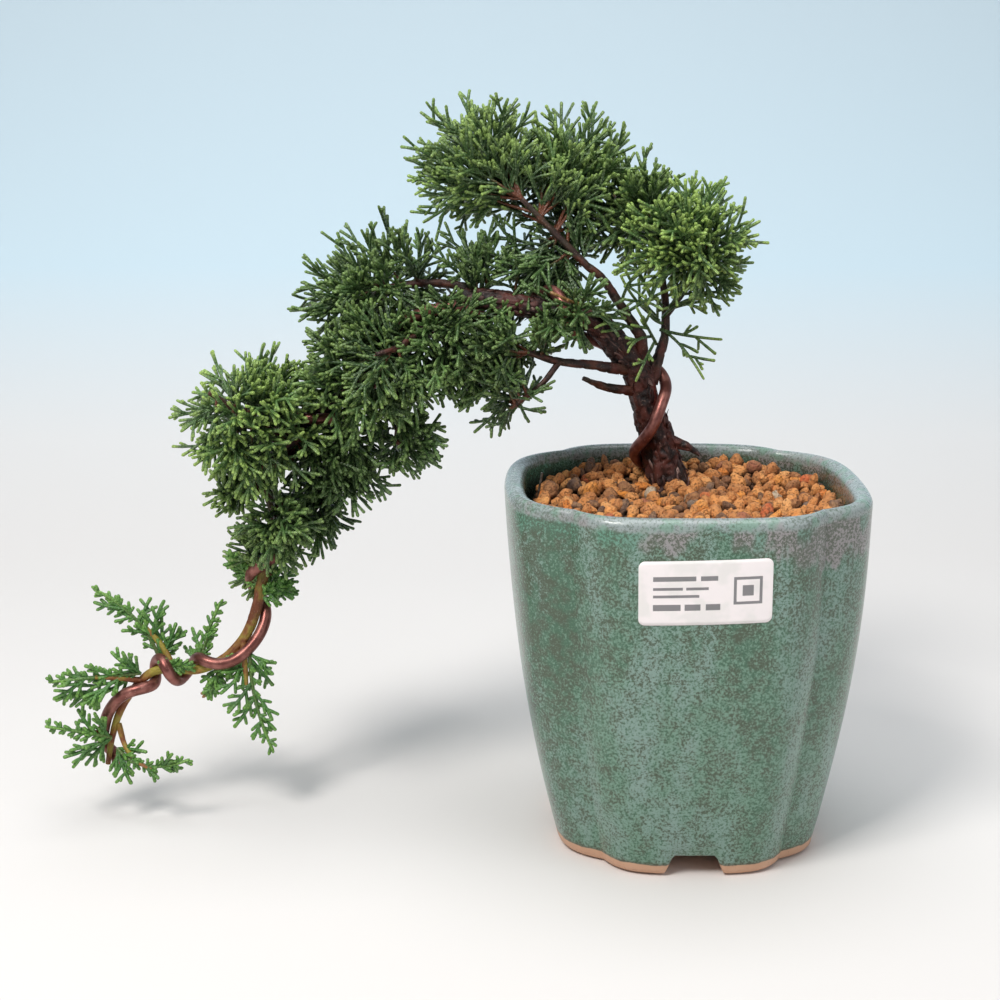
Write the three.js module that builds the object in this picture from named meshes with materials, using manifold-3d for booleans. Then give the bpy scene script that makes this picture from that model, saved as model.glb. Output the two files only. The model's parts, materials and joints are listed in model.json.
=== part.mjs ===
// A small cascading juniper bonsai in a tall lobed pot with a grooved corner at each quarter.
// Millimetres, +Z up. The branch hangs towards -X and the label faces -Y.
// The parts are laid out round the pot's axis, and the last lines move the origin
// to the middle of the bottom of the whole plant's bounding box.
import * as THREE from 'three';
import { mergeVertices } from 'three/addons/utils/BufferGeometryUtils.js';
import Module from 'manifold-3d';

const wasm = await Module();
wasm.setup();

// ---------------------------------------------------------------- driving dimensions
const gap = 0.3;                  // air left between two pieces that touch
const potHeight = 123;
const rimHalf = 59.9;             // half the pot's width at the rim
const footHalf = 43.9;             // half the pot's width where it stands
const wall = 6.5;                 // wall thickness
const rimGroove = 0.66;           // place of the corner groove at the rim, as a share of the half width
const footGroove = 0.665;         // the same at the foot
const innerGroove = 0.7;          // the same on the inside, where the corner is softer
const grooveDepth = 1.13;         // the grooves lie further out along Y than along X
const frontShare = 0.97;          // the rim's half depth as a share of its half width
const lean = -1.9;                // how far the handmade pot leans along X over its height
const floorTop = 14;              // upper face of the pot's floor
const footHeight = 6.5;           // height of the arches between the feet
const recessHeight = 7;           // hollow under the floor
const archWidth = 20;
const drainRadius = 7;
const soilLevel = 112;           // the soil's surface, front and middle
const soilRise = 4;              // how much higher it is at the back wall
const wireRadius = 2;             // training wire
const tieRadius = 0.6;            // wire that ties the roots into the pot
const labelWidth = 40.8, labelHeight = 20.6, labelThickness = 0.3, labelZ = 100.4, labelX = 0.7;
const labelSlope = 0.028;         // the label sits slightly askew

// ---------------------------------------------------------------- materials
const material = (color, roughness, metalness = 0) =>
  new THREE.MeshStandardMaterial({ color, roughness, metalness });
const glaze = material(0x6a7f6d, 0.35);
const granules = material(0xa0683c, 0.95);
const bark = material(0x4a2c26, 0.85);
const deadwood = material(0x6b4a38, 0.9);
const copper = material(0x8a4a3a, 0.35, 0.9);
const steel = material(0x5a5856, 0.4, 0.9);
const leaf = material(0x3c6b34, 0.6);
const leafTip = material(0x5c8f45, 0.6);
const paper = material(0xf0ebe4, 0.5);
const plastic = material(0x22252a, 0.6);

// ---------------------------------------------------------------- shared shapes
const bonsai = new THREE.Group();

function addMesh(name, geometry, mat) {
  const mesh = new THREE.Mesh(geometry, mat);
  mesh.name = name;
  bonsai.add(mesh);
  return mesh;
}

function solid(geometry) {
  const bare = geometry.clone();
  bare.deleteAttribute('normal');
  bare.deleteAttribute('uv');
  const merged = mergeVertices(bare, 1e-4);
  return new wasm.Manifold(new wasm.Mesh({
    numProp: 3,
    vertProperties: new Float32Array(merged.attributes.position.array),
    triVerts: new Uint32Array(merged.index.array),
  }));
}

function fromSolid(body) {
  const mesh = body.getMesh();
  const geometry = new THREE.BufferGeometry();
  const place = new Float32Array((mesh.vertProperties.length / mesh.numProp) * 3);
  for (let i = 0; i < place.length / 3; i++) {
    for (let k = 0; k < 3; k++) place[3 * i + k] = mesh.vertProperties[i * mesh.numProp + k];
  }
  geometry.setAttribute('position', new THREE.BufferAttribute(place, 3));
  geometry.setIndex(new THREE.BufferAttribute(new Uint32Array(mesh.triVerts), 1));
  geometry.computeVertexNormals();
  return geometry;
}

// A closed body through a stack of rings, with a fan on its first and last ring.
// Each ring runs anticlockwise as seen from the end that the stack runs towards.
function loft(rings) {
  const count = rings[0].length;
  const points = rings.flat();
  const faces = [];
  for (let level = 0; level + 1 < rings.length; level++) {
    for (let i = 0; i < count; i++) {
      const a = level * count + i;
      const b = level * count + (i + 1) % count;
      faces.push(a, b, b + count, a, b + count, a + count);
    }
  }
  const centre = (ring) => ring.reduce((sum, p) => sum.add(p), new THREE.Vector3()).divideScalar(count);
  const first = points.push(centre(rings[0])) - 1;
  const last = points.push(centre(rings.at(-1))) - 1;
  const top = (rings.length - 1) * count;
  for (let i = 0; i < count; i++) {
    const next = (i + 1) % count;
    faces.push(first, next, i, last, top + i, top + next);
  }
  const geometry = new THREE.BufferGeometry().setFromPoints(points);
  geometry.setIndex(faces);
  geometry.computeVertexNormals();
  return geometry;
}

// A stem: a smooth line through [x, y, z, radius] points.
class Stem {
  constructor(points) {
    this.last = points.length - 1;
    this.line = new THREE.CatmullRomCurve3(points.map(([x, y, z]) => new THREE.Vector3(x, y, z)));
    this.radii = points.map((p) => p[3]);
  }

  radius(place) {
    const i = Math.min(Math.floor(place), this.last - 1);
    return THREE.MathUtils.lerp(this.radii[i], this.radii[i + 1], place - i);
  }

  // centre, direction, front (-Y side) and side vectors at a place counted in points
  frame(place) {
    const centre = this.line.getPoint(place / this.last);
    const along = this.line.getTangent(place / this.last);
    const front = new THREE.Vector3(0, -1, 0);
    front.addScaledVector(along, -front.dot(along)).normalize();
    const side = new THREE.Vector3().crossVectors(along, front);
    return { centre, along, front, side };
  }

  geometry(sides, stepsPerPoint, extra = 0) {
    const rings = [];
    const steps = this.last * stepsPerPoint;
    for (let step = 0; step <= steps; step++) {
      const place = step / stepsPerPoint;
      const { centre, front, side } = this.frame(place);
      const reach = this.radius(place) + extra;
      rings.push(Array.from({ length: sides }, (_, i) => {
        const turn = (2 * Math.PI * i) / sides;
        return centre.clone()
          .addScaledVector(side, -reach * Math.cos(turn))
          .addScaledVector(front, reach * Math.sin(turn));
      }));
    }
    return loft(rings);
  }
}

// ---------------------------------------------------------------- pot
// Half width of the pot's outside at a height: nearly upright above, drawn in below.
function potHalf(z) {
  const share = THREE.MathUtils.clamp(z / potHeight, 0, 1);
  return footHalf + (rimHalf - footHalf) * (1.9 * share - 0.9 * share * share);
}

const grooveAt = (z) => THREE.MathUtils.lerp(footGroove, rimGroove, z / potHeight);
const leanAt = (z) => lean * (z / potHeight - 0.06);

const depthAt = (z) => THREE.MathUtils.lerp(1, frontShare, z / potHeight);

// Distance from the axis to one side's face, at a place from -1 to 1 between its two grooves.
function lobe(middle, end, place) {
  return middle - (middle - end) * (0.22 * place ** 2 + 0.78 * place ** 6);
}

function potRing(half, share, z) {
  const perSide = 12;
  const ring = [];
  for (let side = 0; side < 4; side++) {
    const turn = (Math.PI / 2) * side;
    const flank = side % 2 === 1;
    const across = half * share * (flank ? grooveDepth : 1);
    const end = half * share * (flank ? 1 : grooveDepth);
    for (let i = 0; i < perSide; i++) {
      const place = Math.sin((Math.PI / 2) * ((2 * i) / perSide - 1));
      const x = across * place;
      const y = -lobe(half * (flank ? 1 : depthAt(z)), end, place);
      ring.push(new THREE.Vector3(
        x * Math.cos(turn) - y * Math.sin(turn) + leanAt(z), x * Math.sin(turn) + y * Math.cos(turn), z));
    }
  }
  return ring;
}

function potShell() {
  const rings = [];
  for (const z of [0, 14, 32, 52, 74, 98, potHeight - wall / 2]) {
    rings.push(potRing(potHalf(z), grooveAt(z), z));
  }
  for (const turn of [40, 90, 140]) {
    const angle = THREE.MathUtils.degToRad(turn);
    rings.push(potRing(rimHalf - (wall / 2) * (1 - Math.cos(angle)),
      THREE.MathUtils.lerp(rimGroove, innerGroove, turn / 180),
      potHeight - (wall / 2) * (1 - Math.sin(angle))));
  }
  for (const z of [potHeight - wall / 2, 90, 50, floorTop]) {
    rings.push(potRing(potHalf(z) - wall, innerGroove, z));
  }
  return solid(loft(rings));
}

// The arch between two feet: a low trapezoid with a flat top, cut right through the foot ring.
function archCutter(turn) {
  const top = archWidth * 0.65;
  const outline = new THREE.Shape();
  outline.moveTo(-archWidth / 2, -1);
  outline.lineTo(archWidth / 2, -1);
  outline.quadraticCurveTo(archWidth / 2 - 0.5, footHeight - 1.5, top / 2, footHeight);
  outline.lineTo(-top / 2, footHeight);
  outline.quadraticCurveTo(-archWidth / 2 + 0.5, footHeight - 1.5, -archWidth / 2, -1);
  const length = 2.6 * footHalf;
  const prism = new THREE.ExtrudeGeometry(outline, { depth: length, bevelEnabled: false, curveSegments: 4 });
  prism.translate(0, 0, -length / 2);
  prism.rotateX(Math.PI / 2);
  prism.rotateZ(turn);
  return solid(prism);
}

function pot() {
  const recessHalf = footHalf - 12.5, recessCorner = 0.78;
  const recess = solid(loft([
    potRing(recessHalf, recessCorner, -1), potRing(recessHalf - 1, recessCorner, recessHeight)]));
  const drain = new THREE.CylinderGeometry(drainRadius, drainRadius, floorTop + 4, 24);
  drain.rotateX(Math.PI / 2);
  drain.translate(0, 0, floorTop / 2);
  return potShell().subtract(recess).subtract(archCutter(0)).subtract(archCutter(Math.PI / 2))
    .subtract(solid(drain));
}

// ---------------------------------------------------------------- drainage
const meshHalf = 13, meshThickness = 1, meshHoles = 4, meshPitch = 5, meshHole = 3.4;

function box(width, depth, height, x, y, z) {
  const geometry = new THREE.BoxGeometry(width, depth, height);
  geometry.translate(x, y, z);
  return solid(geometry);
}

function drainMesh() {
  const z = floorTop + gap + meshThickness / 2;
  let sheet = box(2 * meshHalf, 2 * meshHalf, meshThickness, 0, 0, z);
  const middle = (meshHoles - 1) / 2;
  for (let i = 0; i < meshHoles; i++) {
    for (let j = 0; j < meshHoles; j++) {
      const x = (i - middle) * meshPitch, y = (j - middle) * meshPitch;
      sheet = sheet.subtract(box(meshHole, meshHole, 3 * meshThickness, x, y, z));
    }
  }
  return sheet;
}

// A wire staple: over the mesh, down through the drain hole at each side, and out under the floor.
function meshClip() {
  const over = floorTop + gap + meshThickness + gap + tieRadius;
  const under = recessHeight - gap - tieRadius;
  const leg = meshPitch / 2;
  const tip = drainRadius + 5;
  const route = [
    [-tip, under], [-leg - 1.5, under], [-leg, under + 2], [-leg, over - 2], [-leg + 1, over + 0.1],
    [leg - 1, over + 0.1], [leg, over - 2], [leg, under + 2], [leg + 1.5, under], [tip, under],
  ];
  return new Stem(route.map(([x, z]) => [x, meshPitch / 2, z, tieRadius]));
}

// ---------------------------------------------------------------- trunk and branches
// The trunk stands behind the pot's middle, leans left, arches over and hangs down past the rim.
const trunk = new Stem([
  [3, 30, 92, 5], [-1, 30, 106, 7.4], [-4, 30, 115, 6.5], [-8, 30, 130, 6], [-13, 29, 144, 5],
  [-16, 28, 154, 5], [-22, 26, 162, 4.7], [-28, 24, 169, 4.3], [-35, 22, 174, 4.1], [-43, 21, 176, 4],
  [-52, 22, 177, 3.9], [-64, 24, 179, 3.7], [-76, 25, 179, 3.5], [-88, 24, 171, 3.4], [-99, 22, 161, 3.2],
  [-113, 20, 150, 3.1], [-126, 18, 140, 2.9], [-138, 18, 130, 2.8], [-143, 18, 117, 2.6],
  [-140.5, 18, 103, 2.4], [-145, 16, 88, 2.2], [-148.4, 14, 73, 1.9], [-152.5, 12, 63, 1.8],
  [-160, 10, 55.5, 1.7], [-169, 9, 52, 1.6], [-177, 8, 52.5, 1.6], [-184, 7, 52, 1.5],
  [-190.5, 6, 46.5, 1.4], [-196.5, 6, 37, 1.3], [-200, 6, 26, 1.1], [-201.5, 6, 18, 0.9],
]);

// A broken root stub that sticks out of the trunk just above the soil.
const spur = new Stem([[-4, 29, 129, 2.6], [1, 28, 128, 1.7], [4, 27.5, 126.6, 1.1], [6.5, 27, 124.8, 0.6]]);

// A branch is one or more stems grown together: the first point lies inside what it grows from.
const branches = {
  branch_crown_left: [[[-15, 28, 157, 2.7], [-15, 26, 166, 2], [-20, 25, 174, 1.7], [-24, 24, 180, 1.5],
    [-28, 24, 186, 1.4], [-35, 24, 192, 1.3], [-44, 25, 201, 1.2], [-56, 27, 213, 0.8]]],
  branch_crown_right: [[[-11, 29, 150, 2.6], [-8, 32, 159, 1.9], [-6, 34, 166, 1.5], [-6, 36, 178, 1.3],
    [-8, 37, 190, 1.1], [-11, 38, 204, 0.8]],
  [[-6, 35, 172, 1.2], [1, 32, 183, 1], [6, 28, 196, 0.8]]],
  branch_low_left: [[[-18, 27, 155, 2.2], [-25, 21, 156.5, 1.9], [-32, 18, 158, 1.6], [-44, 14, 160, 1.3],
    [-54, 10, 163.5, 0.9]],
  [[-43, 14, 160, 1.1], [-49, 11, 153, 1], [-58, 9, 146, 0.8]]],
  dead_stub: [[[-15, 28, 147.5, 2.2], [-22, 24, 148.5, 1.5], [-29, 21, 150.5, 1.3], [-35, 18, 153.5, 0.8]]],
  branch_upper_left: [[[-66, 24, 179, 2], [-75, 29, 183, 1.6], [-88, 34, 184, 1.3], [-103, 38, 182, 0.9]]],
  branch_middle: [[[-88, 24, 170, 1.9], [-92, 16, 168, 1.5], [-98, 9, 165, 1], [-104, 3, 164, 0.8]]],
  branch_drooping: [[[-99, 22, 161, 1.7], [-99, 20, 153, 1.5], [-98, 19, 142, 1.2], [-99, 19, 132, 0.8]]],
  branch_behind: [[[-113, 20, 150, 1.8], [-116, 27, 140, 1.5], [-122, 33, 122, 1.2], [-127, 35, 106, 0.8]]],
  branch_left: [[[-138, 18, 131, 2], [-145, 13, 138, 1.6], [-153, 8, 145, 1.2], [-160, 4, 151, 0.8]]],
  branch_lower_left: [[[-142, 18, 117, 1.6], [-149, 17, 114, 1.3], [-156, 17, 112, 0.9]]],
  twig_hanging: [[[-153, 12, 63, 1.4], [-152.5, 9, 56, 1.2], [-152, 8, 46, 0.8]]],
  twig_rising: [[[-177, 8, 52.5, 1.3], [-181.5, 11, 60, 1.1], [-188, 13, 67, 0.8]]],
  twig_left: [[[-188, 6, 49, 1.2], [-195, 3, 51, 1], [-203, 1, 52, 0.7]]],
  twig_tip_left: [[[-200, 6, 28, 1], [-204, 3, 31, 0.8], [-209, 1, 32, 0.6]]],
  twig_tip_right: [[[-197, 6, 33, 1.1], [-194, 2, 26, 0.9], [-189, -2, 22, 0.7], [-184, -4, 20, 0.6]]],
};

// ---------------------------------------------------------------- training wire
// [place along the trunk, turns]: 0 is in front, 0.25 on the right or above, 0.5 behind.
const wireTurns = [
  [2, -0.62], [2.4, -0.38], [2.9, -0.22], [3.4, -0.03], [3.8, 0.09], [4.1, 0.2], [4.35, 0.28],
  [4.8, 0.38], [5.1, 0.45], [7, 0.66], [8.3, 0.84], [8.8, 1],
  [9.3, 1.22], [10.8, 1.62], [12.2, 1.98], [13.5, 2.26], [14.8, 2.62], [16, 3], [17, 3.6], [17.8, 4.2],
  [19, 4.68], [19.9, 5], [20.4, 5.3], [21, 5.62], [21.8, 5.8], [22.8, 5.93], [23.6, 6.15], [24.2, 6.45],
  [24.8, 6.8], [25.3, 7.05], [25.8, 7.4], [26.4, 7.78], [27.2, 8.05], [28.2, 8.22], [29.2, 8.36],
  [30, 8.75],
];
const wireStandoff = 0.4;
const sheath = 2 * wireRadius + 1.5;  // from the bark to clear of the wire

function turnsAt(place) {
  const next = wireTurns.findIndex(([at]) => at >= place);
  if (next <= 0) return wireTurns[0][1];
  const [from, start] = wireTurns[next - 1];
  const [to, end] = wireTurns[next];
  return THREE.MathUtils.lerp(start, end, (place - from) / (to - from));
}

function wirePoint(place, standoff) {
  const { centre, front, side } = trunk.frame(place);
  const angle = 2 * Math.PI * turnsAt(place);
  const reach = trunk.radius(place) + standoff + wireRadius;
  return centre.clone().addScaledVector(front, reach * Math.cos(angle))
    .addScaledVector(side, reach * Math.sin(angle));
}

function wireGeometry(radius) {
  const sides = 6, steps = 160;
  const first = wireTurns[0][0], last = wireTurns.at(-1)[0];
  const route = Array.from({ length: steps + 1 }, (_, i) =>
    wirePoint(first + ((last - first) * i) / steps, wireStandoff));
  const rings = route.map((centre, i) => {
    const along = route[Math.min(i + 1, steps)].clone().sub(route[Math.max(i - 1, 0)]).normalize();
    const { centre: core } = trunk.frame(first + ((last - first) * i) / steps);
    const out = centre.clone().sub(core);
    out.addScaledVector(along, -out.dot(along)).normalize();
    const across = new THREE.Vector3().crossVectors(along, out);
    return Array.from({ length: sides }, (_, k) => {
      const turn = (2 * Math.PI * (k + 0.5)) / sides;
      return centre.clone().addScaledVector(out, radius * Math.cos(turn))
        .addScaledVector(across, radius * Math.sin(turn));
    });
  });
  return loft(rings);
}

// ---------------------------------------------------------------- soil
function soil() {
  const inner = (z) => potHalf(z) - wall - 2 * gap;
  const heaped = (share) => potRing(inner(soilLevel) * share, innerGroove, soilLevel)
    .map((point) => point.setZ(soilLevel + soilRise * THREE.MathUtils.smoothstep(point.y, 12, 48)));
  return solid(loft([
    ...[floorTop + gap, 50, 90].map((z) => potRing(inner(z), innerGroove, z)),
    ...[1, 0.85, 0.65, 0.4, 0.15].map(heaped),
  ]));
}

// Tie wire that holds the roots down: its cut end stands out of the soil beside the left wall.
const tieWire = new Stem([
  [-40, 18, 60, tieRadius], [-44, 18, 80, tieRadius], [-48, 18, 98, tieRadius],
  [-50, 18, 111, tieRadius], [-48.8, 18, 120.5, tieRadius],
]);

// ---------------------------------------------------------------- foliage
// Each cushion of shoots is one or more lumps: [x, y, z], half sizes, tilt about Y in degrees.
const foliage = {
  foliage_crown_left: [[[-71, 40, 223], [28, 23, 23], -17]],
  foliage_crown_middle: [[[-36, 45, 218], [25, 22, 28], 0], [[-15, 42, 207], [20, 17, 23], 0],
    [[-45, 31, 192], [28, 15, 16], -12], [[-71, 29, 190], [14, 12, 13], 0]],
  foliage_crown_right: [[[2, 27, 198], [25, 24, 21], 10]],
  foliage_right_drooping: [[[5, 30, 191], [20, 16, 11], 5]],
  foliage_upper_left: [[[-106, 36, 181], [35, 22, 16], -12]],
  foliage_arch: [[[-77, 18, 165], [34, 20, 18], 6]],
  foliage_middle: [[[-107, 16, 156], [29, 22, 22], -25], [[-120, 22, 127], [21, 18, 22], 0]],
  foliage_left: [[[-145, 12, 139], [27, 25, 25], -25]],
  foliage_drooping: [[[-97, 18, 133], [13, 12, 16], 0]],
  foliage_hanging: [[[-60, 14, 150], [15, 12, 15], 0]],
  foliage_behind: [[[-130, 30, 104], [15, 14, 17], 0]],
  foliage_lower_left: [[[-155, 16, 114], [11, 12, 8], 0]],
  foliage_under: [[[-146, 20, 91], [14, 14, 16], 0], [[-139, 6, 104], [15, 10, 16], 0]],
  foliage_near_stem: [[[-142, 17, 80], [7, 8, 7], 0]],
  spray_hanging: [[[-149, 7, 39], [9, 5, 15], 12]],
  spray_rising: [[[-191, 14, 68], [14, 8, 9], 35]],
  spray_middle: [[[-170, 16, 63], [7, 4, 9], -35]],
  spray_left: [[[-205, 1, 51], [14, 7, 7], 0]],
  spray_tip_left: [[[-212, 0, 32], [9, 7, 9], 0]],
  spray_tip_right: [[[-183, -5, 19], [14, 7, 5.5], 0]],
};
const fineCushion = 15;           // a cushion with a half size above this has finer facets

function cushion([place, half, tilt], extra = 0) {
  const geometry = new THREE.IcosahedronGeometry(1, Math.max(...half) > fineCushion ? 2 : 1);
  const spot = geometry.attributes.position;
  const point = new THREE.Vector3();
  for (let i = 0; i < spot.count; i++) {
    point.fromBufferAttribute(spot, i).normalize();
    const lump = 1 + 0.06 * Math.sin(5 * point.x + place[0]) * Math.cos(4 * point.y + place[2])
      + 0.05 * Math.sin(6 * point.z + place[1]);
    spot.setXYZ(i, point.x * (half[0] * lump + extra), point.y * (half[1] * lump + extra),
      point.z * (half[2] * lump + extra));
  }
  geometry.rotateY(THREE.MathUtils.degToRad(tilt));
  geometry.translate(...place);
  return solid(geometry);
}

const lumps = (list, extra) => list.map((lump) => cushion(lump, extra)).reduce((a, b) => a.add(b));

// ---------------------------------------------------------------- label
// A blank rounded sticker that follows the front face's curve.
function labelGeometry() {
  const half = labelWidth / 2, tall = labelHeight / 2, corner = 2;
  const rings = [];
  for (const x of [-half, -half + 0.6, -half + corner, -12, -6, 0, 6, 12, half - corner, half - 0.6, half]) {
    const past = Math.max(0, Math.abs(x) - half + corner);
    const reach = tall - corner + Math.sqrt(corner * corner - past * past);
    const point = (z, off) => {
      const half = potHalf(z), across = half * grooveAt(z);
      const face = lobe(half * depthAt(z), across * grooveDepth, (x + labelX) / across);
      return new THREE.Vector3(x + labelX + leanAt(z), -face - gap - off, z);
    };
    const axis = labelZ + x * labelSlope;
    const low = axis - reach, high = axis + reach;
    rings.push([
      point(low, 0), point(axis, 0), point(high, 0),
      point(high, labelThickness), point(axis, labelThickness), point(low, labelThickness),
    ]);
  }
  return loft(rings);
}

// ---------------------------------------------------------------- assembly
const woodSides = 8, twigSides = 6;
const wholeTrunk = (extra) => solid(trunk.geometry(woodSides, 2, extra))
  .add(solid(spur.geometry(twigSides, 2, extra)));
const trunkRoom = wholeTrunk(gap);
const wireRoom = solid(wireGeometry(wireRadius + gap));
const tieRoom = solid(tieWire.geometry(6, 2, gap));
const clip = meshClip();

addMesh('pot', fromSolid(pot()), glaze);
addMesh('drain_mesh', fromSolid(drainMesh()), plastic);
addMesh('mesh_clip', clip.geometry(6, 2), steel);
addMesh('tie_wire', tieWire.geometry(6, 2), steel);
addMesh('trunk', fromSolid(wholeTrunk(0)), bark);
addMesh('training_wire', wireGeometry(wireRadius), copper);

const meshRoomHeight = meshThickness + 2 * tieRadius + 6 * gap;
const meshRoomWidth = 2 * (meshHalf + gap);
const meshRoom = box(meshRoomWidth, meshRoomWidth, meshRoomHeight, 0, 0, floorTop + meshRoomHeight / 2);
addMesh('substrate', fromSolid(soil().subtract(trunkRoom).subtract(wireRoom).subtract(tieRoom)
  .subtract(meshRoom)), granules);

// Branches leave room for the trunk, the wire and the branches made before them.
const woodRoom = trunkRoom.add(wireRoom);
let branchRoom = woodRoom;
for (const [name, stems] of Object.entries(branches)) {
  const grown = stems.map((points) => new Stem(points));
  const join = (extra) => grown.map((stem) => solid(stem.geometry(twigSides, 2, extra)))
    .reduce((a, b) => a.add(b));
  addMesh(name, fromSolid(join(0).subtract(branchRoom)), name === 'dead_stub' ? deadwood : bark);
  branchRoom = branchRoom.add(join(gap));
}

// Cushions leave room for the wired trunk, the branches and the cushions made before them.
let taken = branchRoom.add(solid(trunk.geometry(woodSides, 1, sheath)));
for (const [name, list] of Object.entries(foliage)) {
  addMesh(name, fromSolid(lumps(list, 0).subtract(taken)), name.startsWith('spray') ? leafTip : leaf);
  taken = taken.add(lumps(list, gap));
}

addMesh('label', labelGeometry(), paper);

// ---------------------------------------------------------------- origin
// The middle of the bottom of the bounding box becomes the origin.
const bounds = new THREE.Box3().setFromObject(bonsai, true);
const middle = bounds.getCenter(new THREE.Vector3());
bonsai.position.set(-middle.x, -middle.y, -bounds.min.z);
bonsai.updateMatrixWorld(true);

export default bonsai;
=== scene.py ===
# Cascading juniper bonsai in a lobed glazed pot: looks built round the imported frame.
import bpy
import json
import math
import random
from mathutils import Matrix, Vector, kdtree, noise

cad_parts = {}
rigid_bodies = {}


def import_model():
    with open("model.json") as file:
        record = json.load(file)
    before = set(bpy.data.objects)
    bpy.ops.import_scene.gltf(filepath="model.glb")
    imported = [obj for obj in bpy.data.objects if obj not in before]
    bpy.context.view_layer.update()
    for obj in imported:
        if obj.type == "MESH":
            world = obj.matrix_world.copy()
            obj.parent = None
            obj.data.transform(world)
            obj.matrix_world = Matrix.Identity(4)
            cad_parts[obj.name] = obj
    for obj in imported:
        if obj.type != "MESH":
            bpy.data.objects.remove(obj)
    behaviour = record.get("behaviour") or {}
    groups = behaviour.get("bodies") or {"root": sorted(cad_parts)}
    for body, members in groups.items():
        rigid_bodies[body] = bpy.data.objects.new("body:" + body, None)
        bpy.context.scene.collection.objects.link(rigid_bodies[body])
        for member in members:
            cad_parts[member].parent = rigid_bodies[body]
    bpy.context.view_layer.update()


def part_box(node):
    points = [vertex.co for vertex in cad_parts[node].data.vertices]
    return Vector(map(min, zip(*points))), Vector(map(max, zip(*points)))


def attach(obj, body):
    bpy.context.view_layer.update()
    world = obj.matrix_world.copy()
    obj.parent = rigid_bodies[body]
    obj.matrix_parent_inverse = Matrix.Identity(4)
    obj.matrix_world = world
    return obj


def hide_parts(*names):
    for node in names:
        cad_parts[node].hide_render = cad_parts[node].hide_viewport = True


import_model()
mm = 0.001
potLow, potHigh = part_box("pot")
potX = (potLow.x + potHigh.x) / 2
potY = (potLow.y + potHigh.y) / 2


def spot(x, y, z):
    # millimetres round the pot's axis to metres in the frame
    return Vector((potX + x * mm, potY + y * mm, z * mm))


def clamp(value, low=0.0, high=1.0):
    return max(low, min(high, value))


def smooth(low, high, value):
    t = clamp((value - low) / (high - low))
    return t * t * (3 - 2 * t)


# camera first
camera = {"place": (-63.3, -543.4, 249.2), "pitch": 13.85, "lens": 60.1}
camData = bpy.data.cameras.new("camera")
camData.lens = camera["lens"]
camData.clip_end = 20
camObj = bpy.data.objects.new("camera", camData)
camObj.location = spot(*camera["place"])
camObj.rotation_euler = (math.radians(90 - camera["pitch"]), 0, 0)
bpy.context.collection.objects.link(camObj)
bpy.context.scene.camera = camObj


# small helpers for shader and geometry trees
def addNode(tree, kind, inputs=(), **settings):
    node = tree.nodes.new(kind)
    for name, value in settings.items():
        setattr(node, name, value)
    for key, value in dict(inputs).items():
        if isinstance(value, bpy.types.NodeSocket):
            tree.links.new(value, node.inputs[key])
        else:
            node.inputs[key].default_value = value
    return node


def calc(tree, operation, a, b=0.0, c=0.0, hold=False):
    node = addNode(tree, "ShaderNodeMath", {0: a, 1: b, 2: c}, operation=operation)
    node.use_clamp = hold
    return node.outputs[0]


def times(tree, a, b):
    return calc(tree, "MULTIPLY", a, b)


def plus(tree, a, b):
    return calc(tree, "ADD", a, b)


def minus(tree, a, b):
    return calc(tree, "SUBTRACT", a, b)


def blendColour(tree, factor, a, b, share=None):
    # share holds the second colour back
    if share is not None:
        factor = times(tree, factor, share)
    node = addNode(tree, "ShaderNodeMix", data_type="RGBA", blend_type="MIX")
    for index, value in ((0, factor), (6, a), (7, b)):
        if isinstance(value, bpy.types.NodeSocket):
            tree.links.new(value, node.inputs[index])
        elif index:
            node.inputs[index].default_value = (*value, 1)
        else:
            node.inputs[index].default_value = value
    return node.outputs[2]


def ramp(tree, value, stops):
    node = addNode(tree, "ShaderNodeValToRGB", {0: value})
    elements = node.color_ramp.elements
    while len(elements) < len(stops):
        elements.new(0.5)
    for element, (place, colour) in zip(elements, stops):
        element.position = place
        element.color = (*colour, 1)
    return node.outputs[0]


def band(tree, value, low, high):
    return addNode(tree, "ShaderNodeMapRange", {"Value": value, "From Min": low, "From Max": high},
                   interpolation_type="SMOOTHSTEP").outputs[0]


def roughNoise(tree, vector, perMm, detail=3.0, roughness=0.5):
    return addNode(tree, "ShaderNodeTexNoise", {"Vector": vector, "Scale": perMm * 1000, "Detail": detail,
                                                "Roughness": roughness}).outputs[0]


def attribute(tree, name, output="Fac"):
    return addNode(tree, "ShaderNodeAttribute", attribute_name=name).outputs[output]


def newMaterial(name, roughness=0.5, **plain):
    material = bpy.data.materials.new(name)
    material.use_nodes = True
    tree = material.node_tree
    shader = tree.nodes["Principled BSDF"]
    shader.inputs["Roughness"].default_value = roughness
    for key, value in plain.items():
        shader.inputs[key.replace("_", " ")].default_value = value
    return material, tree, shader


def bump(tree, shader, height, depth, strength=1.0):
    node = addNode(tree, "ShaderNodeBump", {"Height": height, "Distance": depth * mm, "Strength": strength})
    tree.links.new(node.outputs[0], shader.inputs["Normal"])


def feed(tree, shader, **sockets):
    for key, value in sockets.items():
        tree.links.new(value, shader.inputs[key.replace("_", " ")])


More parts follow.
